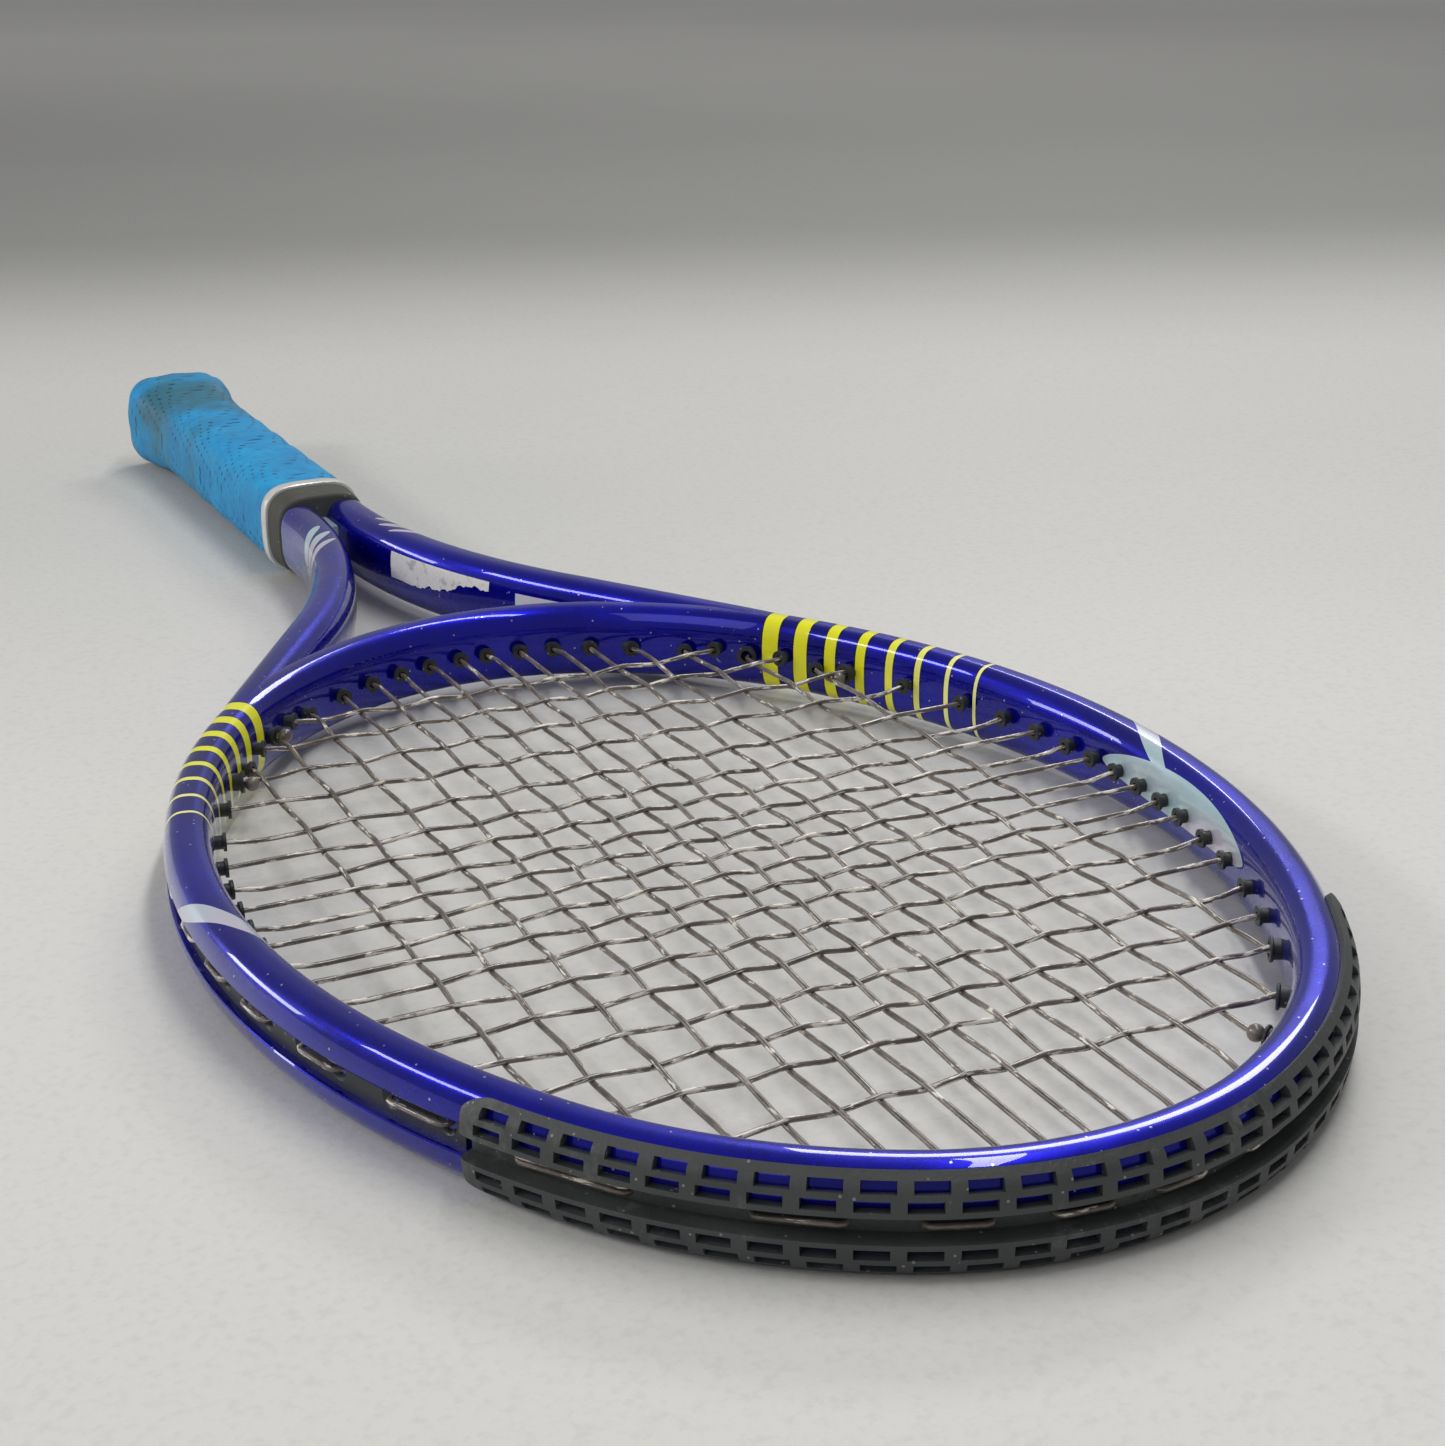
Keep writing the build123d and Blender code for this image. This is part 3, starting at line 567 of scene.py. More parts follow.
# dark and pale shade, roughness, wear, scale of the grain and its depth
plastics = {
    "bumperNylon": (colour(44, 48, 50), colour(96, 99, 97), 0.5, 0.62, 900.0, 0.0003),
    "grommetNylon": (colour(26, 30, 31), colour(60, 64, 64), 0.42, 0.3, 900.0, 0.0001),
    "capPlastic": (colour(24, 25, 27), colour(66, 67, 68), 0.45, 0.45, 700.0, 0.0002),
    "collarRubber": (colour(62, 63, 58), colour(100, 100, 92), 0.62, 0.4, 1100.0, 0.0002),
}
plasticLook = {
    "scuffScale": 260.0,
    "scuffShare": 0.5,
    "cloudScale": 55.0,
    "cloudShare": 0.55,
    "dust": {"Scale": 520.0, "Size": 0.16},
    "dustShare": 0.35,
    "dustShade": colour(190, 188, 180),
    "gloss": (-0.1, 0.15),   # least and most roughness, from the plastic's own
    "scuffRise": 0.5,
    "bump": 0.5,
}


def plasticMaterial(name, dark, pale, rough, scuffAmount, grain, grainDepth):
    # moulded or rubbery plastic: two shades, grain and worn patches
    look = plasticLook
    material, tree, shader, place = newMaterial(name, Roughness=rough, Specular_IOR_Level=0.45)
    position = place.outputs["Object"]
    inputs = {"Vector": position, "Scale": look["scuffScale"], "Amount": scuffAmount}
    scuffs = useGroup(tree, groups["scuffs"], inputs).outputs
    cloud = noise(tree, position, look["cloudScale"], 3.0)
    base = mixColour(tree, maths(tree, "MULTIPLY", cloud, look["cloudShare"]), dark, pale)
    base = mixColour(tree, maths(tree, "MULTIPLY", scuffs["Mask"], look["scuffShare"]), base, pale)
    dust = useGroup(tree, groups["dust"], {"Vector": position} | look["dust"]).outputs["Mask"]
    base = mixColour(tree, maths(tree, "MULTIPLY", dust, look["dustShare"]), base, look["dustShade"])
    tree.links.new(base, shader.inputs["Base Color"])
    smooth, dull = (rough + more for more in look["gloss"])
    tree.links.new(ranged(tree, cloud, 0.2, 0.8, smooth, dull), shader.inputs["Roughness"])
    rise = maths(tree, "MULTIPLY", scuffs["Height"], look["scuffRise"])
    height = maths(tree, "ADD", noise(tree, position, grain, 4.0), rise)
    bump(tree, shader, height, look["bump"], grainDepth)
    return material


bumperNylon, grommetNylon, capPlastic, collarRubber = (
    plasticMaterial(name, *settings) for name, settings in plastics.items()
)

tubeGrid = {
    "step": 1.1,
    "turns": 44,
    "lip": 0.35,
    # groove from the middle of its floor to its lip: shares of its depth and of its half width
    "shelf": ((0.0, 0.0), (0.0, 0.5), (0.0, 0.94), (0.03, 1.0), (0.3, 1.0), (0.75, 1.0), (0.93, 1.03)),
}


def tubeProfile(halfWidth, halfHeight, groove):
    # outline from the groove's floor up its side, over the top, inside and underneath
    # groove is the share of its full depth
    a, b = racket["grooveHalf"], racket["grooveDepth"]
    lip = tubeGrid["lip"]
    turn = np.linspace(-1, 1, tubeGrid["turns"] * 2 + 1)
    power = racket["squareness"]
    mouth = (1 - (a / halfHeight) ** power) ** (1 / power)
    start = np.arctan2((a / halfHeight) ** (power / 2), mouth ** (power / 2))
    angle = math.pi + turn[None, :] * (math.pi - (start + 0.03)[:, None])
    x, z = superellipse(angle, halfWidth[:, None], halfHeight[:, None], power)
    edgeX = x[:, :1]
    floorX = edgeX - (b * groove)[:, None]
    shelf = np.array(tubeGrid["shelf"])
    shelfX = floorX + (edgeX - floorX) * shelf[:, 0]
    shelfZ = (a - lip * 0.3) * shelf[:, 1][None, :] * np.ones_like(edgeX)
    x = np.concatenate([shelfX, x, shelfX[:, :0:-1]], 1)
    z = np.concatenate([shelfZ, z, -shelfZ[:, :0:-1]], 1)
    return np.stack([x, z], -1)


def roundLength(profile):
    # distance round the outline from the inside middle, positive over the top
    gaps = np.hypot(*np.diff(np.vstack([profile[0], profile[0][:1]]), axis=0).T)
    length = np.concatenate([[0], np.cumsum(gaps)])
    inner = int(np.argmin(profile[0][:, 0] + np.abs(profile[0][:, 1]) * 0.01))
    return (length[inner] - length) * mm


def hoop():
    angles = ovalStations(-90, 270, tubeGrid["step"])[:-1]
    count = np.ones(len(angles))
    profile = tubeProfile(racket["tubeHalf"][0] * count, racket["tubeHalf"][1] * count, count)
    points = carried(ovalAt(angles), outwardAt(angles), profile)
    along = lengthFromSide(np.append(angles, 270)) * mm
    obj = gridMesh("hoop_tube", points, True, True, (along, roundLength(profile)))
    nodes = ("head_hoop", "shoulder_right", "shoulder_left", "throat_bridge")
    return finished(obj, framePaintMaterial, nodes)


armPiece = {"start": -7.0, "inset": 0.22, "insetEnd": (0, 26), "grooveEnd": (49.0, 53.0), "insideGrip": 45.0}


def arm(side):
    length = armStraight + bendLength + armPiece["insideGrip"]
    distance = np.linspace(armPiece["start"], length, int(length / tubeGrid["step"]))
    points, outs, (halfWidth, halfHeight) = armLine(distance)
    shrink = armPiece["inset"] * (1 - smoothStep(distance, *armPiece["insetEnd"]))
    groove = 1 - smoothStep(distance, *armPiece["grooveEnd"])
    profile = tubeProfile(halfWidth - shrink, halfHeight - shrink, groove)
    grid = carried(points, outs, profile)
    name = "throat_arm_tube_" + side
    along = (junctionLength - distance) * mm
    uv = (along, roundLength(profile))
    left = side == "left"
    obj = gridMesh(name, mirrored(grid) if left else grid, False, True, uv, caps=True, flip=not left)
    return finished(obj, framePaintMaterial, ("throat_arm_" + side,))


hoop()
arm("right")
arm("left")

strings = {
    "mainShares": (0.034, 0.118, 0.198, 0.282, 0.371, 0.476, 0.588, 0.694),
    "crossShares": (
        -0.772, -0.676, -0.565, -0.456, -0.341, -0.250, -0.174, -0.100, -0.038,
        0.024, 0.088, 0.150, 0.212, 0.291, 0.365, 0.453, 0.535,
    ),
    "level": 0.68,           # mains this far below the middle plane at the frame, crosses above
    "weave": 0.64,           # how far a string rises and falls at a crossing
    "radius": 0.65,
    "loopOut": 5.1,          # middle of an outside loop, out from the oval
    "bridgeMains": 5,
    "sharedMains": 2,
    "fan": 0.8,
    "step": 1.25,
    "fineStep": 0.5,
    "softening": 5,          # fine steps that a corner is rounded over
    "nearLine": 0.8,         # a string weaves only where it is this close to its own line
    "settle": (7, 17),       # and from this far inside the grommets' mouths
    "sides": 8,
    # levels where a string turns pale: frayed lengths and painted glints
    "mainFrayedAndGlint": (0.74, 0.8),
    "crossFrayedAndGlint": (0.68, 0.73),
}
mouthOffset = -racket["tubeHalf"][0] - racket["barrelRise"]
ranks = np.arange(len(strings["mainShares"]))


def meeting(values, axis, low, high):
    # angle where a line x or y = value meets the oval of grommet mouths, between two angles
    fine = np.linspace(low, high, sampling["meeting"])
    coordinate = ovalAt(fine, mouthOffset)[:, axis]
    order = np.argsort(coordinate)
    return np.interp(values, coordinate[order], fine[order])


def holeSet(angles, straight, fan):
    # mouths, outward directions and loop points of a row of holes
    mouths = ovalAt(angles, mouthOffset)
    out = outwardAt(angles) * fan[:, None] + straight * (1 - fan)[:, None]
    out = out / np.linalg.norm(out, axis=1)[:, None]
    return {"angle": angles, "mouth": mouths, "out": out, "fan": fan}


def reach(holes, offset):
    # length from each mouth to an offset outside the oval, or outside an arm's straight run
    centre, radius = arcAt(holes["angle"])
    gap = holes["mouth"] - centre
    along = (gap * holes["out"]).sum(1)
    curved = -along + np.sqrt(along**2 - (gap**2).sum(1) + (radius + offset) ** 2)
    side = np.sign(holes["mouth"][:, :1])
    flip = np.concatenate([side, np.ones_like(side), np.ones_like(side)], 1)
    out, start = armOut * flip, junction * flip
    flat = (offset - ((holes["mouth"] - start) * out).sum(1)) / (holes["out"] * out).sum(1)
    folded = np.where(holes["angle"] > 90, 180 - holes["angle"], holes["angle"])
    onArm = (folded < -racket["splay"]) & (holes["fan"] > 0)
    return np.where(onArm, flat, curved)


def joinedHoles(first, second):
    return {key: np.concatenate([first[key], second[key]]) for key in first}


mainRight = np.array(strings["mainShares"]) * racket["halfWidth"]
mainX = np.concatenate([-mainRight[::-1], mainRight])
mainRank = np.concatenate([ranks[::-1], ranks])
towardsTip, towardsThroat = np.array([0, 1.0, 0]), np.array([0, -1.0, 0])
tipFan = np.where(mainRank >= len(ranks) - strings["sharedMains"], 1.0, strings["fan"])
throatFan = np.where(ranks < strings["bridgeMains"], 0.0, strings["fan"])
tipMains = holeSet(meeting(mainX, 0, 0, 180), towardsTip, tipFan)
throatMains = joinedHoles(
    holeSet(meeting(-mainRight[::-1], 0, 180, 270), towardsThroat, throatFan[::-1]),
    holeSet(meeting(mainRight, 0, -90, 0), towardsThroat, throatFan),
)
ownCrossY = centreY + np.array(strings["crossShares"]) * racket["halfLength"]
sharedCrossY = tipMains["mouth"][-strings["sharedMains"]:, 1][::-1]
crossY = np.concatenate([ownCrossY, sharedCrossY])
crossFan = np.concatenate([np.full(len(ownCrossY), strings["fan"]), np.ones(len(sharedCrossY))])
rightCrosses = holeSet(meeting(crossY, 1, -90, 90), np.array([1.0, 0, 0]), crossFan)
leftCrosses = holeSet(meeting(crossY, 1, 90, 270), np.array([-1.0, 0, 0]), crossFan)


def route(first, second, height, swap):
    # corner points of one string: out of each hole, along the groove and in at the next
    loops = [h["mouth"] + h["out"] * reach(h, strings["loopOut"])[:, None] for h in (first, second)]
    mouths = [first["mouth"], second["mouth"]]
    count = len(first["angle"])
    order = (np.arange(count) + swap) % 2
    begin = [np.where(order[:, None] == 0, m[0], m[1]) for m in (loops, mouths)]
    finish = [np.where(order[:, None] == 0, m[1], m[0]) for m in (mouths, loops)]
    points = np.stack([begin[0], begin[1], finish[0], finish[1]], 1)
    points[..., 2] = height
    return points.reshape(-1, 3)


def resampled(points, step):
    length = np.concatenate([[0], np.cumsum(np.linalg.norm(np.diff(points, axis=0), axis=1))])
    keep = np.concatenate([[True], np.diff(length) > 1e-6])
    spots = np.linspace(0, length[-1], int(length[-1] / step) + 1)
    return np.stack([np.interp(spots, length[keep], points[keep, k]) for k in range(3)], 1)


def softened(points, window):
    # moving average twice, with the ends held
    kernel = np.ones(window) / window
    padded = np.pad(points, ((window, window), (0, 0)), "edge")
    for _ in range(2):
        padded = np.stack([np.convolve(padded[:, k], kernel, "same") for k in range(3)], 1)
    return padded[window:-window]


def woven(points, axis, own, others, parity):
    # z runs straight from over one string to under the next, and settles to the hole's height at the frame
    across = points[:, 1 - axis]
    index = np.interp(across, others, np.arange(len(others)))
    row = np.argmin(np.abs(points[:, axis][:, None] - own[None, :]), 1)
    wave = strings["weave"] * (1 - 2 * np.abs((index + row + parity) % 2 - 1))
    inside = np.hypot(*(points[:, :2] - [0, centreY]).T)
    angle = np.degrees(np.arctan2(points[:, 1] - centreY, points[:, 0]))
    onLine = np.abs(points[:, axis] - own[row]) < strings["nearLine"]
    weight = smoothStep(meetingRadius(angle) - inside, *strings["settle"]) * onLine
    points[:, 2] = points[:, 2] * (1 - weight) + wave * weight
    return points


polarAngles = np.linspace(-90, 269.99, sampling["polar"])
polarPoints = ovalAt(polarAngles)[:, :2] - [0, centreY]
polarTurn = np.degrees(np.arctan2(polarPoints[:, 1], polarPoints[:, 0]))
polarOrder = np.argsort(polarTurn)


def meetingRadius(angle):
    # distance of the oval from its middle, by direction
    return np.interp(angle, polarTurn[polarOrder], np.hypot(*polarPoints.T)[polarOrder])


def tubeAlong(name, points, radius, sides):
    # circle carried along a line, level with the string bed; v runs round it and u along it
    tangent = np.gradient(points, axis=0)
    tangent /= np.linalg.norm(tangent, axis=1)[:, None]
    side = np.cross(tangent, [0.0, 0.0, 1.0])
    side /= np.linalg.norm(side, axis=1)[:, None]
    upward = np.cross(side, tangent)
    turn = np.linspace(0, 2 * math.pi, sides, endpoint=False)
    circle = side[:, None] * np.cos(turn)[:, None] + upward[:, None] * np.sin(turn)[:, None]
    grid = points[:, None] + radius * circle
    length = np.concatenate([[0], np.cumsum(np.linalg.norm(np.diff(points, axis=0), axis=1))]) * mm
    around = np.linspace(0, 2 * math.pi * radius * mm, sides + 1)
    return gridMesh(name, grid, False, True, (length, around), caps=True, smooth=80)


gut = {
    "dark": colour(80, 70, 64),
    "brown": colour(124, 114, 106),
    # pale shade of frayed lengths and of painted glints
    "frayedAndGlint": colour(232, 225, 212),
    "lengths": (160.0, 900.0, 1.0),   # scales along a string and round it
    "fibres": (300.0, 2600.0, 1.0),
    "patchScale": 120.0,
    "patchShare": 0.3,
    "gloss": (0.2, 0.45),
    "bump": (0.5, 0.0001),
}


def stringMaterial(name, paleMarks):
    # worn string: brown-grey, with pale lengths where a noise rises through two levels; the pale lengths are
    # partly frayed string and partly painted glints
    material, tree, shader, place = newMaterial(
        name, Roughness=0.28, Specular_IOR_Level=0.75, Coat_Weight=0.3,
    )
    position = place.outputs["Object"]
    uv = addNode(tree, "ShaderNodeUVMap", uv_map="surface").outputs[0]
    long = noise(tree, stretched(tree, uv, gut["lengths"]), 1.0, 3.0, 0.6)
    patch = noise(tree, position, gut["patchScale"], 3.0)
    base = mixColour(tree, ranged(tree, patch, 0.3, 0.7), gut["dark"], gut["brown"])
    level = maths(tree, "ADD", long, maths(tree, "MULTIPLY", patch, gut["patchShare"]))
    # painted highlight: pale lengths along the string, partly fraying and partly painted glints
    base = mixColour(tree, ranged(tree, level, *paleMarks), base, gut["frayedAndGlint"])
    tree.links.new(base, shader.inputs["Base Color"])
    tree.links.new(ranged(tree, long, 0.3, 0.7, *gut["gloss"]), shader.inputs["Roughness"])
    bump(tree, shader, noise(tree, stretched(tree, uv, gut["fibres"]), 1.0, 2.0), *gut["bump"])
    return material


mainGut = stringMaterial("mainString", strings["mainFrayedAndGlint"])
crossGut = stringMaterial("crossString", strings["crossFrayedAndGlint"])


def stringPiece(name, points, axis, own, others, parity, material, node):
    points = resampled(points, strings["fineStep"])
    points = woven(points, axis, own, others, parity)
    points = softened(points, strings["softening"])
    points = resampled(points, strings["step"])
    obj = tubeAlong(name, points, strings["radius"], strings["sides"])
    return finished(obj, material, (node,))


# holes, counted from the middle or from the throat, that a string's end shares
tied = {"tipMain": 5, "throatMain": 6, "cross": 2}


def tail(holes, index, height):
    # a string's end comes back in through a neighbouring hole
    mouth = holes["mouth"][index]
    loop = mouth + holes["out"][index] * reach(holes, strings["loopOut"])[index]
    points = np.stack([loop, mouth])
    points[:, 2] = height
    return points


def allStrings():
    level = strings["level"]
    mains = route(throatMains, tipMains, -level, 0)
    left, right = (tail(holes, tied["cross"], -level) for holes in (leftCrosses, rightCrosses))
    mains = np.vstack([left[::-1], mains, right])
    stringPiece("main_string_woven", mains, 0, mainX, crossY, 0, mainGut, "main_string")
    crosses = route(leftCrosses, rightCrosses, level, 1)
    half = len(ranks)
    low = tail(throatMains, half + tied["throatMain"], level)[::-1]
    high = tail(tipMains, half - 1 - tied["tipMain"], level)
    crosses = np.vstack([low, crosses, high])
    stringPiece("cross_string_woven", crosses, 1, crossY, mainX, 1, crossGut, "cross_string")


allStrings()

dress(("grommet_strip_right", "grommet_strip_left", "grommet_strip_throat"), grommetNylon)
dress(("string_knots",), mainGut)

barrels = {
    "radius": 1.7,
    "wide": 2.3,
    "bore": 1.0,
    "wideBore": 1.65,
    "rim": 0.6,
    "rimThick": 0.8,
    "length": 9.0,
    "boreEase": (0.25, 0.2),  # depth and width of a bore's eased mouth
    "rimEase": (0.2, 0.25),   # depth and width of the rim's eased edge
    "rimUnder": 0.2,
    "root": 0.1,
    "sides": 20,
}


def barrelRows(name, holes, wide, heights):
    # each grommet is one outline turned round its hole's direction: bore, rim, shaft
    radius = np.where(wide, barrels["wide"], barrels["radius"])
    bore = np.where(wide, barrels["wideBore"], barrels["bore"])
    rim = radius + barrels["rim"]
    thick, length, under = (barrels[k] for k in ("rimThick", "length", "rimUnder"))
    (boreDeep, boreWide), (rimDeep, rimWide) = barrels["boreEase"], barrels["rimEase"]
    along = [length, boreDeep, 0.0, 0.0, rimDeep, thick - under, thick, thick + barrels["root"], length]
    along = np.array(along)
    across = [bore, bore, bore + boreWide, rim - rimWide, rim, rim, rim - under, radius, radius]
    across = np.stack(across, 1)
    turn = np.linspace(0, 2 * math.pi, barrels["sides"], endpoint=False)
    out = holes["out"]
    side = np.stack([out[:, 1], -out[:, 0], np.zeros(len(out))], 1)
    up = np.array([0.0, 0.0, 1.0])
    start = holes["mouth"] + np.outer(heights, up)
    c, s = np.cos(turn)[None, None, :, None], np.sin(turn)[None, None, :, None]
    ring = across[:, :, None, None] * (side[:, None, None] * c + up * s)
    grid = start[:, None, None] + out[:, None, None] * along[None, :, None, None] + ring
    count, rows, cols = grid.shape[:3]
    base = (np.arange(count) * rows * cols)[:, None, None]
    i, j = np.arange(rows - 1)[None, :, None], np.arange(cols)[None, None, :]
    j2 = (j + 1) % cols
    row, nextRow = base + i * cols, base + (i + 1) * cols
    corners = [row + j, row + j2, nextRow + j2, nextRow + j]
    faces = np.stack(np.broadcast_arrays(*corners), -1).reshape(-1, 4)
    return meshFrom(name, grid.reshape(-1, 3) * mm, [faces], None, 30)


bumper = {
    "start": 26.8,           # degrees from the side, at each end
    "halfHeight": 9.6,
    "proud": 2.3,
    "thin": 1.35,            # thickness at the wings' edges
    "thinFrom": 0.72,        # share of the height where the thinning starts
    "channel": 2.3,
    "channelEase": 0.25,
    "pitch": 9.3,
    "window": 6.4,
    "windowRoom": (8, 3, 4),  # kept free of windows: in all, at the start and at the end
    "rows": ((4.5, 0.8), (7.4, 0.92)),   # height of a row of windows, and its start in pitches
    "windowHalf": 0.95,
    "flank": 2.9,
    "rim": (8.8, 9.25),
    "endRun": 7.0,
    "endStations": 15,
    "leastGap": 0.12,
    "endTall": (0.62, 0.38),  # height at the very end, and what the run adds to it
    "endThick": (0.55, 0.45),
    "squeezeFrom": 3.2,      # only heights beyond this are drawn in at the ends
    "lift": 0.05,
    "stripThick": 0.8,
    "bevel": 0.28,
    "bevelAngle": 40,
}


def bumperGuard():
    # outer and inner skins over a grid of angle and height, with cells left out for the windows
    b = bumper
    fine = np.linspace(b["start"], 180 - b["start"], sampling["guard"])
    middle = (fine[1:] + fine[:-1]) / 2
    radius = arcAt(middle)[1] + racket["tubeHalf"][0]
    length = np.concatenate([[0], np.cumsum(radius * np.radians(np.diff(fine)))])
    total = length[-1]
    room, roomStart, roomEnd = b["windowRoom"]
    count = int((total - room) / b["pitch"])
    edges = [np.arange(count) * b["pitch"] + first * b["pitch"] - b["window"] / 2 for _, first in b["rows"]]
    starts = [e[(e > roomStart) & (e + b["window"] < total - roomEnd)] for e in edges]
    stops = np.concatenate([s + k for s in starts for k in (0.0, b["window"] / 2, b["window"])])
    run = np.linspace(0, b["endRun"], b["endStations"])
    ends = np.concatenate([run, total - run])
    stations = np.unique(np.round(np.concatenate([stops, ends, [0.0, total]]), 3))
    keep = np.concatenate([[True], np.diff(stations) > b["leastGap"]])
    # a station is kept when it is a window's edge, or clear of its neighbour
    isEdge = np.isin(stations, np.round(stops, 3))
    stations = stations[keep | isEdge]
    h = b["halfHeight"]
    upper = [b["channel"], b["channel"] + b["channelEase"], b["flank"]]
    for height, _ in b["rows"]:
        upper += [height - b["windowHalf"], height, height + b["windowHalf"]]
    upper = np.array([*upper, *b["rim"], h])
    heights = np.concatenate([-upper[::-1], [0.0], upper])
    angle = np.interp(stations, length, fine)
    fromEnd = np.minimum(stations, total - stations)
    # quarter circle from 0 at the end to 1 where the run is over
    rounding = np.sqrt(np.clip(1 - (1 - np.clip(fromEnd / b["endRun"], 0, 1)) ** 2, 0, 1))
    least, gain = b["endTall"]
    squeeze = least + gain * rounding
    tall = np.abs(heights)[None, :]
    above = b["squeezeFrom"]
    squeezed = above + (tall - above) * (squeeze[:, None] * h - above) / (h - above)
    z = np.where(tall > above, np.sign(heights) * squeezed, heights[None, :])
    power = racket["squareness"]
    half = racket["tubeHalf"]
    skin = half[0] * (1 - np.clip(np.abs(z) / half[1], 0, 0.999) ** power) ** (1 / power)
    slope = np.gradient(skin, axis=1) / np.gradient(z, axis=1)
    normal = np.stack([np.ones_like(slope), -slope], -1) / np.sqrt(1 + slope**2)[..., None]
    thick = b["proud"] - (b["proud"] - b["thin"]) * smoothStep(np.abs(z) / h, b["thinFrom"], 1.0)
    least, gain = b["endThick"]
    thick = thick * (least + gain * rounding[:, None])
    outer = np.stack([skin, z], -1) + normal * thick[..., None]
    inner = np.stack([skin, z], -1) + normal * b["lift"]
    groove = np.abs(heights) <= b["channel"] + 0.01
    for skinPoints, top in ((outer, racket["stripTop"]), (inner, racket["stripTop"] - b["stripThick"])):
        skinPoints[:, groove, 0] = top
        skinPoints[:, groove, 1] = z[:, groove]
    outs, centres = outwardAt(angle), ovalAt(angle)
    grids = [carried(centres, outs, g) for g in (outer, inner)]
    rows, cols = grids[0].shape[:2]
    solid = np.ones((rows - 1, cols - 1), bool)
    midStation = (stations[1:] + stations[:-1]) / 2
    midHeight = (heights[1:] + heights[:-1]) / 2
    for (height, _), begin in zip(b["rows"], starts):
        past = midStation[:, None] - begin
        inWindow = ((past > 0) & (past < b["window"])).any(1)
        inRow = np.abs(np.abs(midHeight) - height) < b["windowHalf"]
        solid &= ~(inWindow[:, None] & inRow[None, :])
    index = np.arange(rows * cols).reshape(rows, cols)
    quad = np.stack([index[:-1, :-1], index[1:, :-1], index[1:, 1:], index[:-1, 1:]], -1)
    shift = rows * cols
    faces = [quad[solid], quad[solid][:, ::-1] + shift]
    padded = np.pad(solid, 1)
    for axis in (0, 1):
        before = padded[:-1, 1:-1] if axis == 0 else padded[1:-1, :-1]
        after = padded[1:, 1:-1] if axis == 0 else padded[1:-1, 1:]
        a = index[:, :-1] if axis == 0 else index[:-1, :]
        c = index[:, 1:] if axis == 0 else index[1:, :]
        for mask, turned in ((after & ~before, axis == 0), (before & ~after, axis == 1)):
            wall = np.stack([a[mask], c[mask], c[mask] + shift, a[mask] + shift], -1)
            faces.append(wall if turned else wall[:, ::-1])
    vertices = np.vstack([g.reshape(-1, 3) for g in grids]) * mm
    used, packed = np.unique(np.concatenate(faces), return_inverse=True)
    obj = meshFrom("bumper_shell", vertices[used], [packed.reshape(-1, 4)], None, 35)
    bevel = obj.modifiers.new("softEdges", "BEVEL")
    bevel.width, bevel.segments = b["bevel"] * mm, 2
    bevel.limit_method, bevel.angle_limit = "ANGLE", math.radians(b["bevelAngle"])
    bevel.harden_normals = True
    return finished(obj, bumperNylon, ("bumper_guard",))


bumperGuard()


def tipGrommets():
    crosses = joinedHoles(rightCrosses, leftCrosses)
    ownCross = np.tile(np.arange(len(crossY)) < len(ownCrossY), 2)
    folded = np.where(crosses["angle"] > 90, 180 - crosses["angle"], crosses["angle"])
    near = (folded > bumper["start"]) & ownCross
    crosses = {k: v[near] for k, v in crosses.items()}
    tips = joinedHoles(tipMains, crosses)
    wide = np.concatenate([mainRank >= len(ranks) - strings["sharedMains"], np.zeros(near.sum(), bool)])
    wide[: len(mainX)] |= mainRank == tied["tipMain"]
    level = strings["level"]
    heights = np.concatenate([np.full(len(mainX), -level), np.full(near.sum(), level)])
    heights = np.where(wide, 0, heights)
    obj = barrelRows("bumper_grommets", tips, wide, heights)
    return finished(obj, grommetNylon)


tipGrommets()


handle = {
    "stations": (-2, 0, 4, 8, 16, 25, 33, 40, 60, 117, 200),
    "widths": (38.2, 39.4, 40.0, 40.0, 38.6, 36.1, 33.9, 32.9, 32.6, 32.5, 32.5),
    "heights": (33.8, 35.0, 35.6, 35.6, 34.4, 32.2, 30.2, 29.5, 29.2, 29.2, 29.2),
    "squareness": 3.5,
    "wrapEnd": 185.0,
    "pitch": 23.0,           # length of handle for each turn of the wrap
    "overlap": 0.42,
    "lapRise": (0.0, 0.035),  # in turns of the wrap
    "lapFall": (0.06, 1.0),
    "wobble": 0.12,
    "wobbleRates": (0.21, 2, 3),   # along the handle, and twice round it
    "pucker": 0.22,          # gathers near the butt
    "puckerRates": (9, 0.55),
    "puckerEnd": (2, 20),
    "sink": 0.15,
    "lipDepth": 1.6,         # the wrap's start, rolled in over the butt
    "lipIn": 0.1,
    "lipFrom": 0.4,
    "lipRows": 8,
    "uvRadius": 16,
    "round": 132,
    "ringRound": 144,
    "along": 330,
    "softening": 33,         # samples that the tables of sizes are averaged over
}


def handleSection(y):
    # half width and half height of the wrapped handle, from the averaged tables
    stations, window = handle["stations"], handle["softening"]
    fine = np.linspace(stations[0], stations[-1], sampling["handle"])
    halves = []
    for table in (handle["widths"], handle["heights"]):
        padded = np.pad(np.interp(fine, stations, table), window // 2, "edge")
        even = np.convolve(padded, np.ones(window) / window, "valid")
        halves.append(np.interp(y, fine, even) / 2)
    return halves


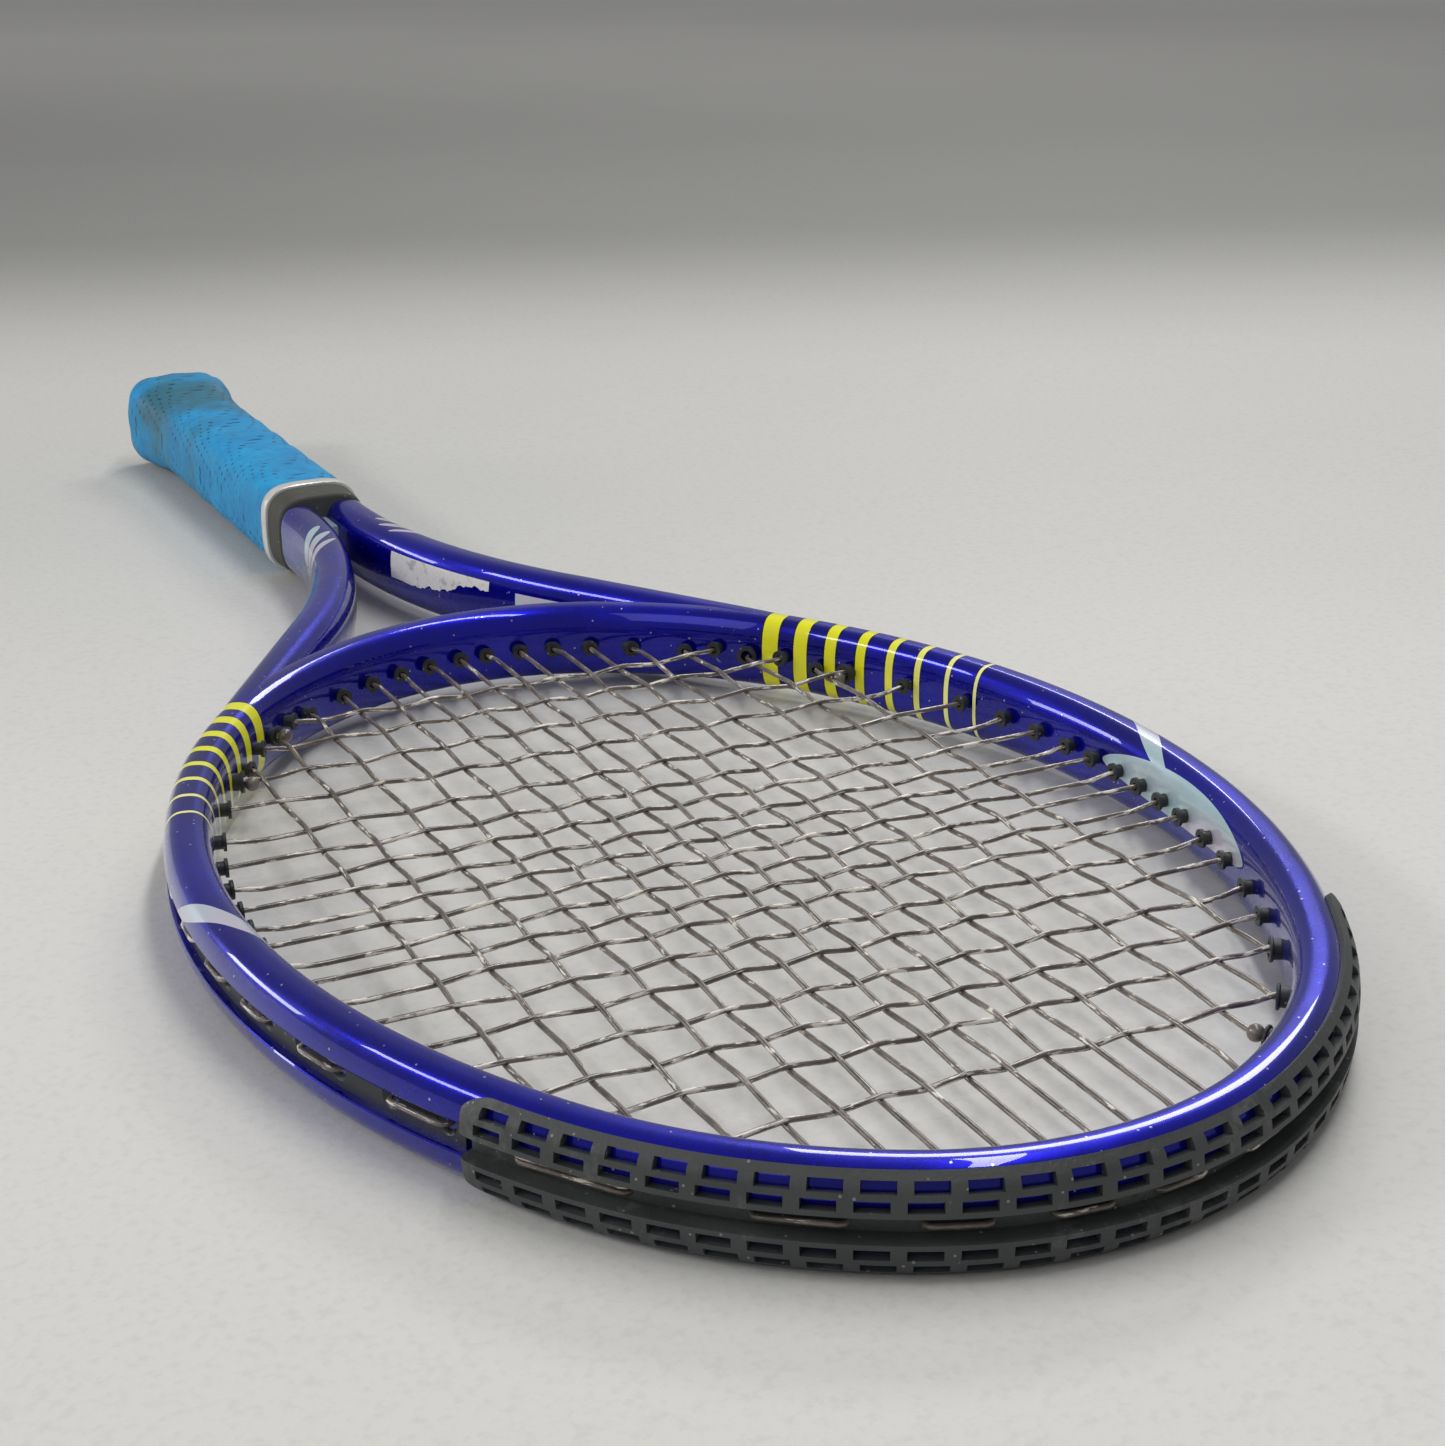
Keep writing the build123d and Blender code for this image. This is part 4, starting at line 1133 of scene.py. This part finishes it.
def overgrip():
    # superellipse sections along the handle, raised where the wrap laps over its last turn
    y = np.linspace(0.0, handle["wrapEnd"], handle["along"])
    turn = np.linspace(0, 2 * math.pi, handle["round"], endpoint=False)
    halfWidth, halfHeight = handleSection(y)
    x, z = superellipse(turn[None, :], halfWidth[:, None], halfHeight[:, None], handle["squareness"])
    arc = np.unwrap(np.arctan2(z[0], x[0]))
    phase = (y[:, None] / handle["pitch"] - arc[None, :] / (2 * math.pi)) % 1
    lap = smoothStep(phase, *handle["lapRise"]) - smoothStep(phase, *handle["lapFall"])
    lap = handle["overlap"] * lap
    rate, slow, quick = handle["wobbleRates"]
    wobble = handle["wobble"] * np.sin(y[:, None] * rate + slow * arc[None, :])
    wobble = wobble * np.sin(quick * arc[None, :] + 1)
    gathers, rate = handle["puckerRates"]
    pucker = handle["pucker"] * np.sin(gathers * arc[None, :] + y[:, None] * rate)
    pucker = pucker * (1 - smoothStep(y[:, None], *handle["puckerEnd"]))
    swell = 1 + (lap + wobble + pucker - handle["sink"]) / np.hypot(x, z)
    grid = np.stack([x * swell, np.broadcast_to(y[:, None], x.shape), z * swell], -1)
    rows, deep, begin = handle["lipRows"], handle["lipDepth"], handle["lipFrom"]
    rolled = np.linspace(0, 1, rows + 1)[:-1]
    inward = 1 - handle["lipIn"] * (1 - np.sin(rolled * math.pi / 2))
    lip = grid[:1] * np.stack([inward, np.ones(rows), inward], 1)[:, None]
    lip[..., 1] = deep - deep * np.sin((begin + (1 - begin) * rolled) * math.pi / 2)[:, None]
    lipGrid = np.concatenate([lip, grid])
    around = np.linspace(0, 2 * math.pi, handle["round"] + 1) * handle["uvRadius"] * mm
    along = np.concatenate([np.zeros(rows), y]) * mm
    obj = gridMesh("overgrip_wrap_piece", lipGrid, False, True, (along, around), smooth=60)
    return finished(obj, overgripMaterial(), ("overgrip", "base_grip"))


wrap = {
    "dark": colour(10, 134, 196),
    "bright": colour(24, 158, 214),
    "grime": colour(42, 108, 128),
    "fibre": colour(20, 96, 150),
    # painted shade inside the perforations
    "hole": colour(6, 52, 84),
    "holeTurn": 0.28,        # radians that the rows of holes are turned by
    "holeScale": (250.0, 210.0, 1.0),
    "holeEdge": (0.12, 0.2),
    "holeShare": 0.9,
    "grimeFrom": (0.05, 0.13),   # metres from the butt where the grime dies out
    "grimeAmount": (0.9, 0.12),
    "fibreShare": 0.25,
    "cloudRise": 0.4,
    "bump": (0.6, 0.0005),
}


def overgripMaterial():
    # perforated polyurethane wrap: turquoise, greyed by use near the butt, with painted shade in its
    # perforations
    material, tree, shader, place = newMaterial(
        "overgripWrap", Roughness=0.6, Specular_IOR_Level=0.35, Sheen_Weight=0.03, Sheen_Roughness=0.5,
    )
    position = place.outputs["Object"]
    uv = addNode(tree, "ShaderNodeUVMap", uv_map="surface").outputs[0]
    turning = {"Vector": uv, "Rotation": (0, 0, wrap["holeTurn"]), "Scale": wrap["holeScale"]}
    turned = addNode(tree, "ShaderNodeMapping", turning).outputs[0]
    wobble = noise(tree, uv, 90.0, 2.0)
    # distance from the middle of each cell of a grid
    shifted = vectorMaths(tree, "ADD", turned, wobble)
    cell = vectorMaths(tree, "FRACTION", shifted)
    centred = vectorMaths(tree, "SUBTRACT", cell, (0.5, 0.5, 0.0))
    flat = vectorMaths(tree, "MULTIPLY", centred, (1.0, 1.0, 0.0))
    distance = vectorMaths(tree, "LENGTH", flat, output="Value")
    patch = ranged(tree, noise(tree, position, 55.0, 3.0), 0.35, 0.62)
    # the perforations: dark dots of painted shade, also sunk in the bump
    hole = maths(tree, "MULTIPLY", ranged(tree, distance, *wrap["holeEdge"], 1.0, 0.0), patch)
    along = addNode(tree, "ShaderNodeSeparateXYZ", {"Vector": position}).outputs[1]
    grimeArea = ranged(tree, along, *wrap["grimeFrom"], 1.0, 0.0)
    grimeNoise = ranged(tree, noise(tree, position, 32.0, 4.0, 0.6), 0.32, 0.68)
    grimeShare = maths(tree, "MULTIPLY_ADD", grimeArea, *wrap["grimeAmount"])
    amount = maths(tree, "MULTIPLY_ADD", grimeNoise, grimeShare, 0.0)
    cloud = noise(tree, position, 95.0, 5.0, 0.65)
    base = mixColour(tree, ranged(tree, cloud, 0.3, 0.7), wrap["dark"], wrap["bright"])
    base = mixColour(tree, amount, base, wrap["grime"])
    fibre = noise(tree, stretched(tree, uv, (1400.0, 240.0, 1.0)), 1.0, 3.0)
    fibres = maths(tree, "MULTIPLY", ranged(tree, fibre, 0.5, 0.75), wrap["fibreShare"])
    base = mixColour(tree, fibres, base, wrap["fibre"])
    # painted shade in the perforations
    base = mixColour(tree, maths(tree, "MULTIPLY", hole, wrap["holeShare"]), base, wrap["hole"])
    tree.links.new(base, shader.inputs["Base Color"])
    tree.links.new(ranged(tree, amount, 0.0, 0.8, 0.66, 0.46), shader.inputs["Roughness"])
    height = maths(tree, "SUBTRACT", maths(tree, "MULTIPLY", cloud, wrap["cloudRise"]), hole)
    height = maths(tree, "ADD", height, maths(tree, "MULTIPLY", fibre, wrap["fibreShare"]))
    bump(tree, shader, height, *wrap["bump"])
    return material


overgrip()


def sleeveRing(name, stations, grows, material, nodes, smooth=35, power=None):
    # closed ring: a section grown by an amount at each station, carried along the handle and back inside
    turn = np.linspace(0, 2 * math.pi, handle["ringRound"], endpoint=False)
    y = np.array(stations, float)
    halfWidth, halfHeight = handleSection(y)
    grow = np.array(grows, float)
    power = power or handle["squareness"]
    x, z = superellipse(turn[None, :], (halfWidth + grow)[:, None], (halfHeight + grow)[:, None], power)
    grid = np.stack([x, np.broadcast_to(y[:, None], x.shape), z], -1)
    obj = gridMesh(name, grid, True, True, None, smooth=smooth)
    return finished(obj, material, nodes)


tape = {
    "stations": (182.6, 182.7, 183.4, 186.0, 187.0, 187.3, 187.3, 182.6),
    "grows": (0.1, 0.55, 0.72, 0.66, 0.5, 0.2, -0.5, -0.5),
    "creases": ((1.0, 5.0, 1.0), 180.0),   # stretch and scale
    # dark and light ends of the painted shade in the creases
    "paintedCreaseShade": (colour(196, 196, 192), colour(236, 235, 230)),
    "bump": (0.5, 0.0003),
}


def tapeMaterial():
    material, tree, shader, place = newMaterial(
        "finishingTape", Roughness=0.32, Metallic=0.25, Coat_Weight=0.4,
    )
    stretch, scale = tape["creases"]
    crease = noise(tree, stretched(tree, place.outputs["Object"], stretch), scale, 3.0)
    # painted shade: darker in the low parts of the crease noise, which also drives the bump
    tree.links.new(mixColour(tree, crease, *tape["paintedCreaseShade"]), shader.inputs["Base Color"])
    bump(tree, shader, crease, *tape["bump"])
    return material


sleeveRing(
    "finishing_tape_ring", tape["stations"], tape["grows"],
    tapeMaterial(), ("finishing_tape",),
)

collar = {
    "start": 187.0,
    "end": 199.0,
    "ribs": 6,
    "depth": 0.5,
    "crest": 0.7,            # power that flattens the ribs' crests
    "sink": 0.35,
    "taper": 0.45,
    "top": 1.4,              # radius of the rounded top
    "rows": 61,
    "topRows": 9,
    "foot": -3.0,
    "inside": (1.5, -12.4),
}


def collarPiece():
    # ribbed sleeve whose top rounds over towards the arms
    start, end, top, depth = (collar[k] for k in ("start", "end", "top", "depth"))
    y = np.linspace(start, end - top, collar["rows"])
    wave = np.abs(np.sin((y - start) / (end - start) * math.pi * collar["ribs"])) ** collar["crest"]
    grow = -collar["sink"] - depth + depth * wave - collar["taper"] * (y - start) / (end - start)
    over = np.linspace(0, math.pi / 2, collar["topRows"])
    topY = end - top + top * np.sin(over)
    topGrow = grow[-1] - top * (1 - np.cos(over))
    drop, deepest = collar["inside"]
    y = np.concatenate([[start], y, topY, [end - 0.05, end - 0.1]])
    grow = np.concatenate([[collar["foot"]], grow, topGrow, [topGrow[-1] - drop, deepest]])
    sleeveRing("grip_collar_sleeve", y, grow, collarRubber, ("grip_collar",), 50)


collarPiece()

labels = {
    "paper": {"start": 12.0, "end": 24.5, "low": -2.0, "high": 6.6},
    "foil": {"start": 27.3, "end": 31.8, "low": -1.0, "high": 5.0},
    "proud": 0.12,
    "thick": 0.1,
    "grid": (160, 24),
    "waves": ((17, 0.5), (41, 0.35), (83, 0.22), (160, 0.12)),   # rate and height of the torn edge's waves
    "tornRise": 6.2,
    "riseRun": (0.3, 1.0),   # shares of the length
    "waveRun": (0.1, 0.4),
    "tornLimits": (-0.2, 7.4),
    "uvSize": (0.05, 0.02),
    "paperShades": (colour(226, 224, 216), colour(250, 249, 244)),
    "fibreScale": 900.0,
    "smearShade": colour(150, 148, 150),
    "smearScale": 260.0,
    "smearLevel": (0.55, 0.68),
    "smearShare": 0.5,
    "paperBump": (0.5, 0.0002),
    "foilShades": [(0.3, (238, 214, 222)), (0.7, (206, 228, 236))],
    "tintScale": 160.0,
    "creaseScale": 700.0,
    "foilBump": (0.3, 0.0001),
}


def labelPiece(name, sizes, torn, material, node):
    # grid of arm angle and height on the left arm's inner wall, with a torn lower edge
    rows, cols = labels["grid"]
    u = np.linspace(0, 1, rows)
    v = np.linspace(0, 1, cols)
    edge = sum(np.sin(u * rate + random.uniform(0, 6)) * tall for rate, tall in labels["waves"])
    rise = labels["tornRise"] * smoothStep(u, *labels["riseRun"]) + edge * smoothStep(u, *labels["waveRun"])
    low = sizes["low"] + np.where(torn, np.clip(rise, *labels["tornLimits"]), 0)
    z = low[:, None] + (sizes["high"] - low)[:, None] * v[None, :]
    angle = np.radians(sizes["start"] + (sizes["end"] - sizes["start"]) * u)
    halfWidth, halfHeight = racket["armHalf"]
    power = racket["squareness"]
    wall = halfWidth * (1 - (np.abs(z) / halfHeight) ** power) ** (1 / power)
    direction = np.stack([-np.cos(angle), np.sin(angle), np.zeros_like(angle)], -1)
    up = np.array([0.0, 0.0, 1.0])
    grids = []
    for lift in (labels["proud"], labels["proud"] - labels["thick"]):
        reachOut = armRadius + wall + lift
        grids.append(mirrored(bendCentre + direction[:, None] * reachOut[..., None] + up * z[..., None]))
    front, back = grids
    loop = np.concatenate([front, back[:, ::-1]], 1)
    uvLength, uvRound = labels["uvSize"]
    uv = (u * uvLength, np.linspace(0, uvRound, 2 * cols + 1))
    obj = gridMesh(name, loop, False, True, uv, smooth=40)
    return finished(obj, material, (node,))


def paperMaterial():
    material, tree, shader, place = newMaterial("labelPaper", Roughness=0.8, Specular_IOR_Level=0.25)
    position = place.outputs["Object"]
    fibre = noise(tree, position, labels["fibreScale"], 5.0, 0.7)
    smear = ranged(tree, noise(tree, position, labels["smearScale"], 4.0, 0.6), *labels["smearLevel"])
    base = mixColour(tree, fibre, *labels["paperShades"])
    base = mixColour(tree, maths(tree, "MULTIPLY", smear, labels["smearShare"]), base, labels["smearShade"])
    tree.links.new(base, shader.inputs["Base Color"])
    bump(tree, shader, fibre, *labels["paperBump"])
    return material


def foilMaterial():
    material, tree, shader, place = newMaterial("labelFoil", Roughness=0.3, Metallic=0.1, Coat_Weight=0.5)
    position = place.outputs["Object"]
    tint = shaded(tree, noise(tree, position, labels["tintScale"], 1.0), labels["foilShades"])
    tree.links.new(tint, shader.inputs["Base Color"])
    bump(tree, shader, noise(tree, position, labels["creaseScale"], 2.0), *labels["foilBump"])
    return material


labelPiece("price_label_paper", labels["paper"], True, paperMaterial(), "price_label")
labelPiece("seal_label_foil", labels["foil"], False, foilMaterial(), "seal_label")


hidden = {
    "wireShades": (colour(120, 118, 114), colour(200, 198, 192)),
    "wireScale": 800.0,
    "foamShades": (colour(214, 196, 150), colour(176, 150, 100)),
    "foamScale": 900.0,
    "foamBump": (0.6, 0.0004),
}


def wireMaterial():
    material, tree, shader, place = newMaterial("stapleWire", Roughness=0.3, Metallic=1.0)
    shade = noise(tree, place.outputs["Object"], hidden["wireScale"], 3.0)
    tree.links.new(mixColour(tree, shade, *hidden["wireShades"]), shader.inputs["Base Color"])
    return material


def foamMaterial():
    material, tree, shader, place = newMaterial("mouldingFoam", Roughness=0.9, Specular_IOR_Level=0.2)
    inputs = {"Vector": place.outputs["Object"], "Scale": hidden["foamScale"]}
    cells = addNode(tree, "ShaderNodeTexVoronoi", inputs).outputs["Distance"]
    tree.links.new(mixColour(tree, cells, *hidden["foamShades"]), shader.inputs["Base Color"])
    bump(tree, shader, cells, *hidden["foamBump"])
    return material


wire, foam = wireMaterial(), foamMaterial()
plainNodes = {
    "throat_web": framePaintMaterial, "bridge_core": foam, "handle_pallet": foam, "butt_cap": capPlastic,
    "butt_cap_door": capPlastic, "butt_cap_staples": wire, "base_grip_staple": wire,
}
for name, material in plainNodes.items():
    dress((name,), material)

studio = {
    "floorAtButt": -0.0180,
    "buttTouch": 8,          # station of the butt's flare that rests on the floor
    "floorSlope": 0.0105,
    "floorSize": 16.0,
    "aim": (0.0, 0.45, 0.0),
    "sweep": (-0.43, -0.9, 0.0),
    # each step of painted light and shade: from and to along the sweep, and brightness at both
    "paintedLightSteps": ((-0.5, 0.0, 1.0, 0.82), (0.14, 0.62, 1.0, 0.48), (1.0, 2.5, 1.0, 2.4)),
    "floorShades": (colour(214, 213, 209), colour(224, 223, 219)),
    "cloudScale": 3.0,
    "speckShade": colour(168, 167, 164),
    "speckScale": 420.0,
    "speckShare": 0.16,
    "floorBump": (0.35, 0.0004),
    "cameraAt": (0.2319, 1.0004, 0.2349),
    "azimuth": 154.52,
    "elevation": 20.42,
    "roll": -0.99,
    "lens": 62.2,
    "sensor": 36,
    "nearest": 0.01,
    # place, direction of the long side, width, length and power
    "lights": {
        "stripOverhead": ((-0.42, 0.4, 1.5), (0.4, 0.92, 0), 0.13, 1.6, 11.0),
        "windowRight": ((2.1, -0.3, 1.35), (0, 1, 0), 0.34, 1.0, 15.0),
        "windowLow": ((2.2, -1.7, 0.5), (0.8, 1, 0), 0.4, 0.9, 11.0),
        "boxBehind": ((-1.2, -0.95, 1.25), (1, -0.6, 0), 0.35, 0.8, 9.0),
        "softboxFill": ((1.3, 1.1, 1.1), (1, -1, 0), 1.2, 1.0, 4.5),
    },
    "worldShade": 0.62,
    "worldStrength": 0.44,
}


def floorPiece():
    # square of floor, tilted to touch both the butt and the hoop
    side = np.linspace(-1, 1, 3) * studio["floorSize"] * 500
    x, y = np.meshgrid(side, side, indexing="ij")
    z = (studio["floorAtButt"] / mm) + (y - studio["buttTouch"]) * studio["floorSlope"]
    material, tree, shader, place = newMaterial("paleFloor", Roughness=0.62, Specular_IOR_Level=0.3)
    position = place.outputs["Object"]
    cloud = noise(tree, position, studio["cloudScale"], 4.0)
    fine = noise(tree, position, studio["speckScale"], 3.0)
    base = mixColour(tree, cloud, *studio["floorShades"])
    specks = maths(tree, "MULTIPLY", ranged(tree, fine, 0.45, 0.75), studio["speckShare"])
    base = mixColour(tree, specks, base, studio["speckShade"])
    # painted shade and light: the floor's colour darkens with distance along the room, and lightens again far
    # off
    distance = vectorMaths(tree, "DOT_PRODUCT", position, studio["sweep"], output="Value")
    for steps in studio["paintedLightSteps"]:
        base = mixColour(tree, 1.0, base, ranged(tree, distance, *steps), "MULTIPLY")
    tree.links.new(base, shader.inputs["Base Color"])
    bump(tree, shader, fine, *studio["floorBump"])
    obj = gridMesh("floor", np.stack([x, y, z], -1))
    obj.data.materials.append(material)


def areaLight(name, place, along, width, length, power):
    # rectangle of light facing the racket's middle, its long side along a direction
    light = bpy.data.lights.new(name, "AREA")
    light.shape, light.size, light.size_y, light.energy = "RECTANGLE", width, length, power
    back = (Vector(place) - Vector(studio["aim"])).normalized()
    side = Vector(along).cross(back).normalized()
    turn = Matrix([side, back.cross(side), back]).transposed().to_4x4()
    obj = bpy.data.objects.new(name, light)
    obj.matrix_world = Matrix.Translation(place) @ turn
    bpy.context.scene.collection.objects.link(obj)


def makeCamera():
    a, e, roll = (math.radians(studio[k]) for k in ("azimuth", "elevation", "roll"))
    back = Vector((math.sin(a) * math.cos(e), -math.cos(a) * math.cos(e), math.sin(e)))
    right = (-back).cross(Vector((0, 0, 1))).normalized()
    up = right.cross(-back)
    r = right * math.cos(roll) + up * math.sin(roll)
    u = up * math.cos(roll) - right * math.sin(roll)
    data = bpy.data.cameras.new("camera")
    data.lens, data.sensor_width, data.sensor_fit = studio["lens"], studio["sensor"], "HORIZONTAL"
    data.clip_start = studio["nearest"]
    obj = bpy.data.objects.new("camera", data)
    obj.matrix_world = Matrix.Translation(studio["cameraAt"]) @ Matrix([r, u, back]).transposed().to_4x4()
    bpy.context.scene.collection.objects.link(obj)
    bpy.context.scene.camera = obj


floorPiece()
# the reflections of these run along the tube as crisp strips
for name, settings in studio["lights"].items():
    areaLight(name, *settings)
world = bpy.data.worlds.new("studio")
world.use_nodes = True
background = world.node_tree.nodes["Background"]
background.inputs[0].default_value = (*[studio["worldShade"]] * 3, 1)
background.inputs[1].default_value = studio["worldStrength"]
bpy.context.scene.world = world
bpy.context.scene.view_settings.view_transform = "Standard"
makeCamera()
print("studio ready")
